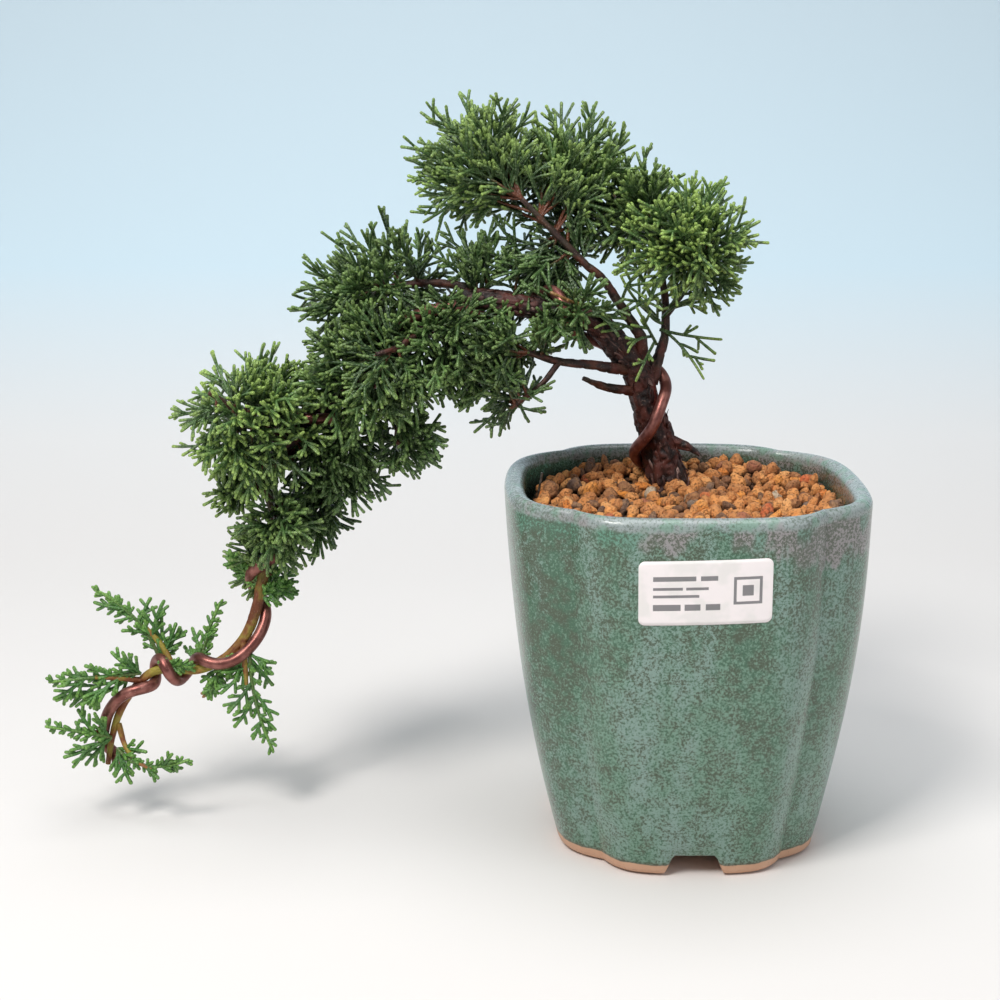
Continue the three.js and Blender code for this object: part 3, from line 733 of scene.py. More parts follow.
class Stem:
    # a smooth centripetal curve through a route, with its radius
    def __init__(self, route):
        self.knots = [Vector(p[:3]) for p in route]
        self.radii = [p[3] for p in route]
        self.last = len(route) - 1
        self.knots.insert(0, 2 * self.knots[0] - self.knots[1])
        self.knots.append(2 * self.knots[-1] - self.knots[-2])

    def point(self, place):
        i = min(int(max(place, 0)), self.last - 1)
        p = self.knots[i:i + 4]
        t = [0.0]
        for a, b in zip(p, p[1:]):
            t.append(t[-1] + max((b - a).length ** 0.5, 1e-4))
        at = t[1] + (t[2] - t[1]) * (place - i)
        line = [p[k].lerp(p[k + 1], (at - t[k]) / (t[k + 1] - t[k])) for k in range(3)]
        bend = [line[k].lerp(line[k + 1], (at - t[k]) / (t[k + 2] - t[k])) for k in range(2)]
        return bend[0].lerp(bend[1], (at - t[1]) / (t[2] - t[1]))

    def radius(self, place):
        i = min(int(max(place, 0)), self.last - 1)
        share = smooth(0, 1, place - i)
        return self.radii[i] + (self.radii[i + 1] - self.radii[i]) * share

    def frame(self, place):
        step = 0.02
        along = (self.point(min(place + step, self.last)) - self.point(max(place - step, 0))).normalized()
        front = Vector((0, -1, 0))
        front = (front - along * front.dot(along)).normalized()
        return self.point(place), along, front, along.cross(front)


# training wire: place along the trunk and turns round it, 0 in front, 0.25 right or above, 0.5 behind
wire = {"radius": 2.05, "standoff": 0.3, "sides": 20, "steps": 900}
wireTurns = [
    (2, -0.62), (2.4, -0.38), (2.9, -0.22), (3.4, -0.03), (3.8, 0.09), (4.1, 0.2), (4.35, 0.28),
    (4.8, 0.38), (5.1, 0.45), (7, 0.66), (8.3, 0.84), (8.8, 1),
    (9.3, 1.22), (10.8, 1.62), (12.2, 1.98), (13.5, 2.26), (14.8, 2.62), (16, 3), (17, 3.6), (17.8, 4.2),
    (19, 4.68), (19.9, 5), (20.4, 5.3), (21, 5.62), (21.8, 5.8), (22.8, 5.93), (23.6, 6.15), (24.2, 6.45),
    (24.8, 6.8), (25.3, 7.05), (25.8, 7.4), (26.4, 7.78), (27.2, 8.05), (28.2, 8.22), (29.2, 8.36),
    (30, 8.75)]


def turnsAt(place):
    # smooth curve through the stations, so the wire has no kinks
    for i in range(len(wireTurns) - 1):
        (a, start), (b, end) = wireTurns[i], wireTurns[i + 1]
        if place <= b:
            before = wireTurns[max(i - 1, 0)]
            after = wireTurns[min(i + 2, len(wireTurns) - 1)]
            slopeIn = (end - before[1]) / (b - before[0])
            slopeOut = (after[1] - start) / (after[0] - a)
            t = clamp((place - a) / (b - a))
            span = b - a
            return ((2 * t ** 3 - 3 * t ** 2 + 1) * start + (t ** 3 - 2 * t ** 2 + t) * span * slopeIn
                    + (3 * t ** 2 - 2 * t ** 3) * end + (t ** 3 - t ** 2) * span * slopeOut)
    return wireTurns[-1][1]


def wireRoute():
    stem = Stem(trunkRoute)
    first, last = wireTurns[0][0], wireTurns[-1][0]
    route = []
    for i in range(wire["steps"] + 1):
        place = first + (last - first) * i / wire["steps"]
        centre, along, front, side = stem.frame(place)
        angle = 2 * math.pi * turnsAt(place)
        loose = 0.8 * math.exp(-((place - 2.8) / 0.4) ** 2) + 1.8 * math.exp(-((place - 4.6) / 0.45) ** 2)
        reach = stem.radius(place) + wire["standoff"] + wire["radius"] + loose
        route.append(centre + (front * math.cos(angle) + side * math.sin(angle)) * reach)
    for turn in range(6):
        middle = [(route[i - 1] + route[i] * 2 + route[i + 1]) / 4 for i in range(1, len(route) - 1)]
        route = [route[0]] + middle + [route[-1]]
    return route


# bark: how far ridges and plates stand out, and where the under-bark shows
bark = {"ridge": 0.42, "plate": 0.65, "flute": 1.5, "flakes": 620, "flakeSeed": 4, "rings": 30, "sides": 36,
        "patchFrom": 3.15, "patchTo": 4.75, "patchTurn": 0.98, "youngFrom": 17.5, "youngTo": 23.0}


def barkRelief(angle, run, radius, offset):
    # ridges run along the stem; plates are broken cells that lift at their edges
    around = Vector((math.cos(angle), math.sin(angle), 0)) * radius
    ridgeHeight = noise.noise(Vector((around.x * 1.3, around.y * 1.3, run * 0.11 + offset)))
    fine = noise.noise(Vector((around.x * 3.4, around.y * 3.4, run * 0.30 + offset)))
    cells = noise.voronoi(Vector((around.x * 0.55, around.y * 0.55, run * 0.15 + offset)))[0]
    plate = smooth(0.02, 0.22, cells[1] - cells[0])
    flute = noise.noise(Vector((around.x * 0.42, around.y * 0.42, run * 0.04 + offset)))
    return ridgeHeight * 0.6 + fine * 0.4, plate, flute


def barkFlakes(first, faces):
    # slivers of bark that lift off at one end; they stay low beside the wire
    rng = random.Random(bark["flakeSeed"])
    stem = Stem(trunkRoute)
    coil = wireRoute()
    near = kdtree.KDTree(len(coil))
    for i, p in enumerate(coil):
        near.insert(p, i)
    near.balance()
    corners = []
    for flake in range(bark["flakes"]):
        place = 1.4 + 12 * rng.random() ** 2.2
        angle = rng.uniform(0, 2 * math.pi)
        centre, along, front, side = stem.frame(place)
        out = side * -math.cos(angle) + front * math.sin(angle)
        across = along.cross(out)
        away = near.find(centre + out * stem.radius(place))[2] - wire["radius"]
        red = place > bark["patchFrom"] and place < bark["patchTo"] and out.x < 0.3 and out.y < 0.2
        if away < 1.3 or red:
            continue
        size = min(1.0, stem.radius(place) / 5)
        length = rng.uniform(2.2, 6.5) * size * rng.choice((-1, 1))
        width = rng.uniform(0.35, 1.0) * size
        rise = rng.uniform(0.1, 1.0) ** 2 * 1.7 * size
        # each flake gets a random tone that rises towards its lifted end: painted highlight
        shade = rng.uniform(0.25, 0.8)
        slant = rng.uniform(-0.25, 0.25)
        start = first + len(corners)
        for k in range(5):
            t = k / 4
            middle = centre + (along + across * slant) * length * (t - 0.4)
            reach = stem.radius(place) - 0.25 + rise * t * t
            half = width * math.sin(math.pi * (0.18 + 0.74 * t))
            thick = 0.22 * (1 - 0.6 * t)
            for u, v in ((-1, -1), (1, -1), (1, 1), (-1, 1)):
                lump = 0.12 * rng.uniform(-1, 1)
                aside = across * half * u * (1 + lump)
                corners.append((middle + out * (reach + v * thick + lump) + aside, shade + 0.25 * t))
        turn = -1 if length > 0 else 1
        for k in range(4):
            for i in range(4):
                a, b = start + 4 * k + i, start + 4 * k + (i + 1) % 4
                faces.append((a, b, b + 4, a + 4)[::turn])
        faces.append((start, start + 3, start + 2, start + 1)[::turn])
        faces.append((start + 16, start + 17, start + 18, start + 19)[::turn])
    return corners


def buildStem(name, routes, slotName, replaced, ringsPerPoint, sides, youngShift=0.0, rough=1.0, root=False):
    points, faces, ridgeLightValues, youngValues, redValues = [], [], [], [], []
    for index, route in enumerate(routes):
        stem = Stem(route)
        run, before = 0.0, stem.point(0)
        first = len(points)
        steps = stem.last * ringsPerPoint
        onTrunk = root and index == 0
        for step in range(steps + 1):
            place = step / ringsPerPoint
            centre, along, front, side = stem.frame(place)
            run += (centre - before).length
            before = centre
            radius = stem.radius(place)
            young = youngShift
            if root:
                young = clamp((place - bark["youngFrom"]) / (bark["youngTo"] - bark["youngFrom"]))
            for i in range(sides):
                angle = 2 * math.pi * i / sides
                relief, plate, flute = barkRelief(angle, run, radius, 7.0 * index + len(name))
                worn = 1 - 0.75 * young
                red = 0.0
                if onTrunk:
                    turn = abs((angle / math.pi - bark["patchTurn"] + 1) % 2 - 1)
                    red = smooth(0.42, 0.22, turn) * smooth(bark["patchFrom"], bark["patchFrom"] + 0.5, place)
                    red *= smooth(bark["patchTo"], bark["patchTo"] - 0.45, place)
                size = min(1.0, radius / 4.5)
                lift = bark["ridge"] * relief + bark["plate"] * (plate - 0.6)
                lift *= rough * worn * (1 - 0.8 * red) * size
                if onTrunk:
                    lift += smooth(5.5, 2.5, place) * (1 - red) * (bark["flute"] * flute + 0.5 * relief)
                if onTrunk and place < 3:
                    flare = (3 - place) / 3
                    roots = 0.10 * math.cos(3 * angle + 0.6) + 0.07 * math.cos(5 * angle + 2)
                    lift += radius * flare * roots
                reach = radius + lift
                centreDir = side * -math.cos(angle) + front * math.sin(angle)
                p = centre + centreDir * reach
                points.append(spot(*p))
                # ridge height also sets the colour: painted highlight on ridges, painted shade in grooves and
                # in the cracks between plates
                ridgeHeight = clamp(0.5 + 0.5 * relief + (0.3 * flute if root else 0))
                ridgeLightValues.append(ridgeHeight * (0.35 + 0.65 * plate))
                youngValues.append(young)
                redValues.append(red)
        faces += [tuple(first + i for i in face) for face in ringFaces(steps + 1, sides)]
        last = first + steps * sides
        faces.append(tuple(first + i for i in reversed(range(sides))))
        faces.append(tuple(last + i for i in range(sides)))
    if root:
        for corner, shade in barkFlakes(len(points), faces):
            points.append(spot(*corner))
            ridgeLightValues.append(shade)
            youngValues.append(0.0)
            redValues.append(0.0)
    obj = addMesh(name, points, faces, woodMaterial())
    addAttribute(obj, "ridgeHeight", ridgeLightValues)
    addAttribute(obj, "young", youngValues)
    addAttribute(obj, "redBark", redValues)
    return finishPiece(obj, slotName, replaced)


def woodMaterial():
    if "juniper_bark" in bpy.data.materials:
        return bpy.data.materials["juniper_bark"]
    material, tree, shader = newMaterial("juniper_bark", 0.62)
    coords = objectCoords(tree)
    ridgeHeight = attribute(tree, "ridgeHeight")
    young = attribute(tree, "young")
    # painted highlight and shade: high ridges are pale pinkish grey, grooves near black
    old = ramp(tree, ridgeHeight, [(0.1, (0.004, 0.0015, 0.0015)), (0.40, (0.014, 0.005, 0.0045)),
                             (0.62, (0.045, 0.015, 0.012)), (0.8, (0.12, 0.062, 0.052)),
                             (1.0, (0.34, 0.22, 0.19))])
    redden = patches(tree, coords, 0.16, 0.45, 0.65, 3)
    old = blendColour(tree, redden, old, (0.13, 0.024, 0.013), share=0.6)
    old = blendColour(tree, attribute(tree, "redBark"), old, (0.15, 0.022, 0.012))
    fresh = ramp(tree, patches(tree, objectCoords(tree, offset=(0.4, 0, 0.1)), 0.16, 0.3, 0.7, 3),
                 [(0.2, (0.36, 0.30, 0.035)), (0.5, (0.34, 0.17, 0.03)), (0.8, (0.22, 0.06, 0.015))])
    # painted shade in the grooves of young bark
    fresh = blendColour(tree, minus(tree, 1.0, ridgeHeight), fresh, (0.10, 0.035, 0.012), share=0.35)
    colour = blendColour(tree, young, old, fresh)
    speck = patches(tree, coords, 1.6, 0.6, 0.72, 2)
    colour = blendColour(tree, speck, colour, (0.38, 0.25, 0.20), share=0.3)
    feed(tree, shader, Base_Color=colour)
    grain = roughNoise(tree, objectCoords(tree, stretch=(1, 1, 0.35)), 0.9, 4.0)
    bump(tree, shader, plus(tree, ridgeHeight, grain), 0.35, 0.8)
    return material


def buildWood():
    buildStem("trunk_wood", [trunkRoute, spurRoute], "bark", "trunk", bark["rings"], bark["sides"], root=True)
    for name, routes in branchRoutes.items():
        twig = name.startswith("twig")
        slotName = "deadwood" if name == "dead_stub" else "twig_bark" if twig else "branch_bark"
        shift = 0.9 if twig else 0.04
        rough = 1.8 if name == "dead_stub" else 1.1
        buildStem(name + "_wood", routes, slotName, name, 14, 14, shift, rough)


buildWood()
print("wood built")


def buildWire():
    route = wireRoute()
    points = []
    across = Vector((0, 1, 0))
    ends = wire["steps"]
    for i, centre in enumerate(route):
        along = (route[min(i + 1, ends)] - route[max(i - 1, 0)]).normalized()
        across = (across - along * across.dot(along)).normalized()
        other = along.cross(across)
        trim = 0.82 if i in (0, ends) else 1.0
        for k in range(wire["sides"]):
            turn = 2 * math.pi * k / wire["sides"]
            out = across * math.cos(turn) + other * math.sin(turn)
            points.append(spot(*(centre + out * wire["radius"] * trim)))
    faces = ringFaces(len(route), wire["sides"])
    lastRing = ends * wire["sides"]
    faces.append(tuple(reversed(range(wire["sides"]))))
    faces.append(tuple(lastRing + i for i in range(wire["sides"])))
    obj = addMesh("training_wire_coil", points, faces, wireMaterial())
    return finishPiece(obj, "copper_wire", "training_wire")


def wireMaterial():
    material, tree, shader = newMaterial("copper_coloured_wire", 0.4, Metallic=0.75)
    coords = objectCoords(tree)
    worn = patches(tree, coords, 0.25, 0.4, 0.7, 3)
    colour = blendColour(tree, worn, (0.20, 0.070, 0.058), (0.36, 0.150, 0.125))
    scuff = patches(tree, coords, 1.3, 0.66, 0.74, 2)
    colour = blendColour(tree, scuff, colour, (0.60, 0.38, 0.30), share=0.5)
    rough = plus(tree, times(tree, worn, 0.12), 0.36)
    feed(tree, shader, Base_Color=colour, Roughness=rough)
    bump(tree, shader, roughNoise(tree, coords, 0.5, 2.0), 0.06, 0.5)
    return material


buildWire()
print("wire built")

# foliage: whip-like shoots covered in scale leaves, forking towards their tips
shoots = {"radius": 0.55, "sideRadius": 0.51, "tipRadius": 0.48, "step": 1.9, "sideGap": 4.3,
          "sideAngle": 38, "tipAngle": 35, "dead": 0.004, "stretch": 1.14}
# each cushion is one or more lobes: centre, half sizes, tilt about Y in degrees, twigs, length of a sprig,
# share of fresh tips, upward pull and the stretches of stem that the twigs come from
cushions = {
    "foliage_crown_left": [((-71, 40, 223), (28, 23, 23), -17, 19, 17, 0.75, 0.15,
                            [("branch_crown_left", 0, 4.5, 7)])],
    "foliage_crown_middle": [
        ((-36, 45, 218), (25, 22, 28), 0, 19, 17, 0.65, 0.22,
         [("branch_crown_left", 0, 3.5, 6.5), ("branch_crown_right", 0, 3, 5)]),
        ((-15, 42, 206), (20, 17, 22), 0, 12, 16, 0.6, 0.15, [("branch_crown_right", 0, 2.5, 5)]),
        ((-45, 31, 192), (28, 15, 16), -12, 12, 16, 0.25, -0.05,
         [("branch_crown_left", 0, 2.5, 6), ("trunk", 0, 8.0, 11)]),
        ((-71, 29, 190), (14, 12, 13), 0, 7, 12, 0.3, 0.1, [("trunk", 0, 9.6, 11.6)]),
        ((-40, 15, 176), (24, 9, 12), 0, 6, 14, 0.2, -0.1, [("trunk", 0, 7.5, 12)])],
    "foliage_crown_right": [((0, 27, 198), (25, 24, 21), 10, 18, 17, 1.0, 0.08,
                             [("branch_crown_right", 0, 2.2, 5), ("branch_crown_right", 1, 0.6, 2)])],
    "foliage_right_drooping": [((5, 30, 191), (20, 16, 11), 5, 6, 15, 0.45, 0.05,
                                [("branch_crown_right", 1, 0.2, 1.6), ("branch_crown_right", 0, 1.5, 3)])],
    "foliage_upper_left": [((-106, 36, 181), (35, 22, 16), -12, 21, 17, 0.35, 0.06,
                            [("branch_upper_left", 0, 0.4, 3)])],
    "foliage_arch": [((-77, 18, 165), (34, 20, 18), 6, 24, 16, 0.3, -0.06,
                      [("trunk", 0, 10.0, 13.4), ("branch_low_left", 0, 3, 4)])],
    "foliage_middle": [
        ((-107, 16, 156), (29, 22, 22), -25, 25, 17, 0.45, 0.0,
         [("trunk", 0, 13.2, 15.6), ("branch_middle", 0, 0.6, 3)]),
        ((-120, 22, 127), (21, 18, 22), 0, 20, 15, 0.2, -0.25,
         [("trunk", 0, 14.6, 17), ("branch_drooping", 0, 0.6, 2), ("branch_behind", 0, 0.6, 2)])],
    "foliage_left": [((-145, 12, 139), (27, 25, 25), -25, 34, 15, 0.95, 0.10,
                      [("branch_left", 0, 0.6, 3), ("trunk", 0, 16, 17.6)])],
    "foliage_drooping": [((-97, 18, 133), (13, 12, 16), 0, 9, 13, 0.25, -0.3,
                          [("branch_drooping", 0, 0.8, 3)])],
    "foliage_hanging": [((-60, 14, 150), (15, 12, 15), 0, 8, 13, 0.3, -0.2,
                         [("branch_low_left", 1, 0.6, 2), ("branch_low_left", 0, 2.6, 4)]),
                        ((-49, 15, 168), (11, 8, 9), 0, 5, 10, 0.3, 0.0, [("branch_low_left", 0, 2.2, 3.8)])],
    "foliage_behind": [((-130, 30, 104), (15, 14, 17), 0, 15, 13, 0.1, -0.2, [("branch_behind", 0, 1.2, 3)])],
    "foliage_lower_left": [((-155, 16, 114), (11, 12, 8), 0, 9, 9, 0.6, 0.1,
                            [("branch_lower_left", 0, 0.6, 2)])],
    "foliage_under": [((-146, 20, 91), (14, 14, 16), 0, 13, 11, 0.5, -0.1, [("trunk", 0, 18.0, 20)]),
                      ((-139, 6, 104), (15, 10, 16), 0, 11, 12, 0.4, -0.2, [("trunk", 0, 17.0, 19)])],
    "foliage_near_stem": [((-142, 17, 80), (7, 8, 7), 0, 4, 7, 0.4, 0.0, [("trunk", 0, 20.0, 21.0)])]}
# flat sprays and long single shoots: the axis and the tips of their side shoots
sprays = {
    "spray_rising": [
        {"axis": [(-182, 10, 55), (-191, 14, 69), (-205, 16, 79)],
         "tips": [(-204, 17, 70), (-195, 11, 67), (-188, 18, 76), (-183, 10, 77), (-178, 16, 69),
                  (-174, 11, 67), (-173, 15, 64), (-206, 15, 72)]}],
    "spray_middle": [
        {"axis": [(-168, 10, 53), (-166, 15, 63), (-162, 19, 73)],
         "tips": [(-163, 14, 67), (-173, 19, 63), (-167, 20, 62), (-176, 16, 57)]},
        {"axis": [(-162, 10, 52), (-163, 8, 47), (-166, 8, 43)], "tips": [(-168, 9, 47), (-162, 8, 45)]},
        {"axis": [(-181, 8, 52), (-178, 6, 54), (-171, 6, 54)], "tips": [(-175, 7, 57), (-177, 6, 49)]}],
    "spray_left": [
        {"axis": [(-188, 5, 52), (-203, 1, 52), (-218, -1, 51)],
         "tips": [(-214, 3, 54), (-204, -3, 58), (-198, 4, 60), (-194, -1, 60), (-216, -2, 42), (-213, 2, 40),
                  (-206, -3, 41), (-200, 3, 43)]}],
    "spray_tip_left": [
        {"axis": [(-199, 3, 29), (-207, 0, 32), (-220, -2, 35)],
         "tips": [(-211, 3, 39), (-203, -2, 40), (-213, -3, 20), (-209, 2, 19)]}],
    "spray_tip_right": [
        {"axis": [(-197, 3, 25), (-186, -3, 21), (-171, -5, 24)],
         "tips": [(-176, -7, 27), (-174, -2, 19), (-182, -7, 17), (-195, -3, 13), (-198, 1, 16),
                  (-186, -1, 28)]}],
    "spray_hanging": [
        {"axis": [(-150.5, 9, 58), (-148.8, 7, 41), (-143, 4, 24)],
         "tips": [(-161, 9, 52), (-161, 4, 48), (-160, 7, 43), (-158, 5, 37), (-155, 3, 32), (-150, 4, 28),
                  (-140, 5, 37), (-141, 9, 46), (-141, 6, 32), (-141, 5, 53)]}],
    "foliage_near_stem": [
        {"axis": [(-146, 15, 79), (-152, 14, 86), (-157, 13, 90)],
         "tips": [(-156, 12, 95), (-157, 16, 86), (-149, 12, 91), (-152, 16, 82)]},
        {"axis": [(-147, 14, 77), (-142, 14, 80), (-137, 15, 81)],
         "tips": [(-139, 13, 84), (-139, 12, 76), (-141, 17, 86)]}],
    "foliage_crown_middle": [
        {"axis": [(-20, 25, 175), (-12, 18, 181), (-5, 12, 185)], "tips": [(-9, 14, 178), (-12, 15, 187)]},
        {"axis": [(-22, 25, 178), (-20, 17, 186), (-16, 10, 192)], "tips": [(-12, 12, 187), (-22, 12, 191)]},
        {"axis": [(-8, 34, 171), (-16, 30, 178), (-22, 27, 187)], "tips": [(-22, 29, 179), (-15, 28, 186)]},
        {"axis": [(-7, 34, 176), (-15, 33, 186), (-19, 30, 197)], "tips": [(-20, 32, 190), (-12, 32, 195)]},
        {"axis": [(-16, 26, 168), (-24, 20, 172), (-31, 16, 171)], "tips": [(-29, 18, 176), (-28, 17, 167)]}],
    "foliage_right_drooping": [
        {"axis": [(-8, 33, 168), (2, 32, 166), (13, 30, 165)], "tips": [(5, 30, 169), (11, 34, 159)]},
        {"axis": [(-7, 33, 168), (0, 30, 162), (7, 27, 152)], "tips": [(11, 28, 158), (6, 31, 162)]},
        {"axis": [(-7, 35, 174), (2, 33, 177), (9, 31, 178)], "tips": [(8, 30, 174), (5, 34, 180)]},
        {"axis": [(-7, 34, 172), (-1, 28, 178), (8, 24, 181)], "tips": [(5, 26, 184), (6, 24, 176)]},
        {"axis": [(-9, 32, 163), (-13, 25, 170), (-17, 20, 177)], "tips": [(-19, 22, 171), (-12, 21, 176)]},
        {"axis": [(-7, 34, 170), (-12, 28, 174), (-14, 22, 181)], "tips": [(-17, 24, 178), (-9, 24, 180)]},
        {"axis": [(-10, 30, 164), (-14, 20, 159), (-17, 17, 153)], "tips": [(-18, 16, 159), (-11, 20, 159)]},
        {"axis": [(-11, 30, 166), (-17, 20, 166), (-20, 16, 163)], "tips": [(-21, 19, 167)]},
        {"axis": [(-6, 35, 174), (3, 28, 184), (14, 24, 190)], "tips": [(18, 25, 185), (21, 27, 183)]}]}
flatSprays = ("spray_rising", "spray_middle", "spray_left", "spray_tip_left", "spray_tip_right",
              "spray_hanging", "foliage_near_stem")
goldenTurn = math.pi * (3 - math.sqrt(5))


class Growth:
    # a skeleton of edges; each point carries its girth and what the leaf material needs
    def __init__(self, seed):
        self.rng = random.Random(seed)
        self.points, self.edges = [], []
        self.layers = {name: [] for name in ("girth", "tone", "fresh", "along", "wood")}

    def put(self, point, girth, tone, fresh, along, wood, joined):
        if joined:
            self.edges.append((len(self.points) - 1, len(self.points)))
        self.points.append(spot(*point))
        for name, value in zip(self.layers, (girth * mm, tone, fresh, along, wood)):
            self.layers[name].append(value)

    def cord(self, start, heading, length, radius, tone, fresh, curl=0.10, lift=0.05):
        # one shoot that bends a little and ends in a blunt, paler tip; returns points and headings along it
        rng = self.rng
        steps = max(2, round(length / shoots["step"]))
        stride = length / steps
        bend = Vector((rng.gauss(0, curl), rng.gauss(0, curl), rng.gauss(0, curl) + lift))
        point, heading = Vector(start), heading.normalized()
        track = [(point.copy(), heading.copy())]
        offset = rng.uniform(0, 2.4)
        self.put(point, radius * 0.8, tone, 0.0, offset, 0.0, False)
        for k in range(1, steps + 1):
            share = k / steps
            heading = (heading + bend * (stride / 4)).normalized()
            point = point + heading * stride
            knob = 1 + (0.09 if k % 2 else -0.05)
            swell = radius * knob * (0.92 + 0.16 * share)
            pale = fresh * smooth(1 - 3.6 / max(length, 5), 1.0, share)
            # the tone rises towards the outer end of each shoot: painted light
            self.put(point, swell, tone + 0.3 * (share - 0.4), pale, offset + length * share, 0.0, True)
            track.append((point.copy(), heading.copy()))
        blunt = point + heading * radius * 0.75
        self.put(blunt, radius * 0.55, tone, fresh, offset + length + radius, 0.0, True)
        return track

    def twig(self, route, base, end):
        # a woody twig that turns green towards its end
        for k, p in enumerate(route):
            share = k / (len(route) - 1)
            wood = 1 - smooth(0.25, 0.75, share)
            self.put(p, base + (end - base) * share, 0.4, 0.0, share * 20, wood, k > 0)

    def sprig(self, start, heading, length, across, fresh, lift, leafy=1.0, stout=1.0, fern=False, outer=1.0):
        # a main shoot with side shoots left and right, some of them forked
        rng = self.rng
        # sprigs deep in a cushion get a lower tone: partly older growth, partly painted shade
        tone = clamp(rng.gauss(0.40 + 0.3 * fresh - 0.45 * (1 - outer), 0.2))
        if rng.random() < shoots["dead"]:
            tone = 2.0
        fresh *= rng.uniform(0.5, 1.0)
        track = self.cord(start, heading, length, shoots["radius"] * stout, tone, fresh, 0.07, lift)
        across = (across - heading * across.dot(heading)).normalized()
        count = max(1, round(leafy * length / shoots["sideGap"]))
        hand = rng.choice((-1, 1))
        for i in range(count):
            share = clamp(0.12 + 0.70 * (i + rng.uniform(-0.25, 0.25)) / count, 0.05, 0.88)
            at, going = self.along(track, share)
            hand = -hand
            side = across * hand + going.cross(across) * rng.gauss(0.15, 0.3 if fern else 0.6)
            angle = math.radians(rng.gauss(shoots["sideAngle"], 7))
            turn = (going * math.cos(angle) + side.normalized() * math.sin(angle)).normalized()
            fall = 0.54 - 0.34 * share if fern else 0.66 - 0.30 * share
            reach = max(2.2, length * fall * rng.uniform(0.65, 1.25))
            twigTrack = self.cord(at, turn, reach, shoots["sideRadius"] * stout, tone, fresh, 0.08, lift)
            flip = rng.choice((-1, 1))
            forks = (rng.uniform(0.3, 0.5), rng.uniform(0.6, 0.75))
            forkCount = 2 if reach > 8.0 else 1 if reach > 4.6 else 0
            for place in forks[:forkCount]:
                if not fern and rng.random() < 0.35:
                    continue
                at2, going2 = self.along(twigTrack, place)
                flip = -flip
                aside = (across * flip + going2.cross(across) * rng.gauss(0, 0.6)).normalized()
                angle = math.radians(rng.gauss(shoots["tipAngle"], 6))
                turn2 = going2 * math.cos(angle) + aside * math.sin(angle)
                self.cord(at2, turn2, reach * (1 - place) * rng.uniform(0.6, 0.95),
                          shoots["tipRadius"] * stout, tone, fresh, 0.05, lift)

    @staticmethod
    def along(track, share):
        place = share * (len(track) - 1)
        i = min(int(place), len(track) - 2)
        (a, going), (b, goingNext) = track[i], track[i + 1]
        return a.lerp(b, place - i), going.lerp(goingNext, place - i).normalized()

    def piece(self, name, node, slotName, material):
        mesh = bpy.data.meshes.new(name)
        mesh.from_pydata([tuple(p) for p in self.points], self.edges, [])
        source = bpy.data.objects.new(name + "_lines", mesh)
        bpy.context.collection.objects.link(source)
        for layer, values in self.layers.items():
            addAttribute(source, layer, values)
        piece = grow(name, source, tubeTree, {"Sides": 5, "Material": material})
        return finishPiece(piece, slotName, node)


def bezier(a, b, c, count):
    return [a.lerp(b, t).lerp(b.lerp(c, t), t) for t in (k / count for k in range(count + 1))]


def routeOf(name, index):
    return Stem(trunkRoute if name == "trunk" else branchRoutes[name][index])


def growLobe(growth, centre, half, tilt, twigs, length, fresh, pull, stems):
    rng = growth.rng
    centre, half, length = Vector(centre), Vector(half), length * shoots["stretch"]
    turn = Matrix.Rotation(math.radians(tilt), 3, "Y")
    mean = sum(half) / 3
    inner = max(0.32, (mean - 0.74 * length) / mean)
    starts = []
    for name, index, low, high in stems:
        stem = routeOf(name, index)
        starts += [stem.point(low + (high - low) * k / 7) for k in range(8)]
    for i in range(twigs):
        z = 1 - 2 * (i + 0.5) / twigs
        spin = goldenTurn * i + rng.uniform(-0.3, 0.3)
        flat = math.sqrt(1 - z * z)
        way = Vector((flat * math.cos(spin), flat * math.sin(spin), z))
        out = turn @ Vector((way.x / half.x, way.y / half.y, way.z / half.z)).normalized()
        target = centre + turn @ (way * half) * inner * rng.uniform(0.7, 1.15)
        start = min(starts, key=lambda p: (p - target).length * rng.uniform(0.8, 1.25))
        middle = start.lerp(target, 0.5) + out * 2 + Vector((0, 0, 2.5 * pull + rng.gauss(0, 1.2)))
        route = bezier(start, middle, target, 7)
        growth.twig(route, 0.6, 0.45)
        track = []
        for k in range(8):
            heading = route[min(k + 1, 7)] - route[max(k - 1, 0)]
            track.append((route[k], heading.normalized()))
        span = (target - start).length
        lift = 0.12 * pull
        roll = rng.uniform(0, math.pi)
        count = 3 + round(span / 8)
        for k in range(count):
            share = clamp(0.28 + 0.66 * k / (count - 1) + rng.uniform(-0.04, 0.04), 0.1, 1)
            at, going = growth.along(track, share)
            flatSide = going.cross(Vector((0, 0, 1)))
            if flatSide.length < 0.3:
                flatSide = going.cross(Vector((0, 1, 0)))
            flatSide.normalize()
            roll += goldenTurn if k % 2 else math.pi * rng.uniform(0.85, 1.15)
            other = going.cross(flatSide)
            aside = flatSide * math.cos(roll) + other * math.sin(roll)
            heading = (going * 0.85 + aside * 0.75 + out * 0.5 + Vector((0, 0, pull))).normalized()
            across = heading.cross(out + Vector((rng.gauss(0, 0.5), rng.gauss(0, 0.5), rng.gauss(0, 0.5))))
            if across.length < 0.2:
                across = heading.cross(Vector((0, 0, 1)))
            reach = length * rng.uniform(0.6, 1.0)
            growth.sprig(at, heading, reach, across.normalized(), fresh, lift, outer=share)
        going = track[-1][1]
        heading = (going * 0.6 + out * 0.7 + Vector((0, 0, pull * 0.8))).normalized()
        across = heading.cross(Vector((rng.gauss(0, 1), rng.gauss(0, 1), 0.6)))
        growth.sprig(target, heading, length * rng.uniform(0.8, 1.05), across.normalized(), fresh, lift)


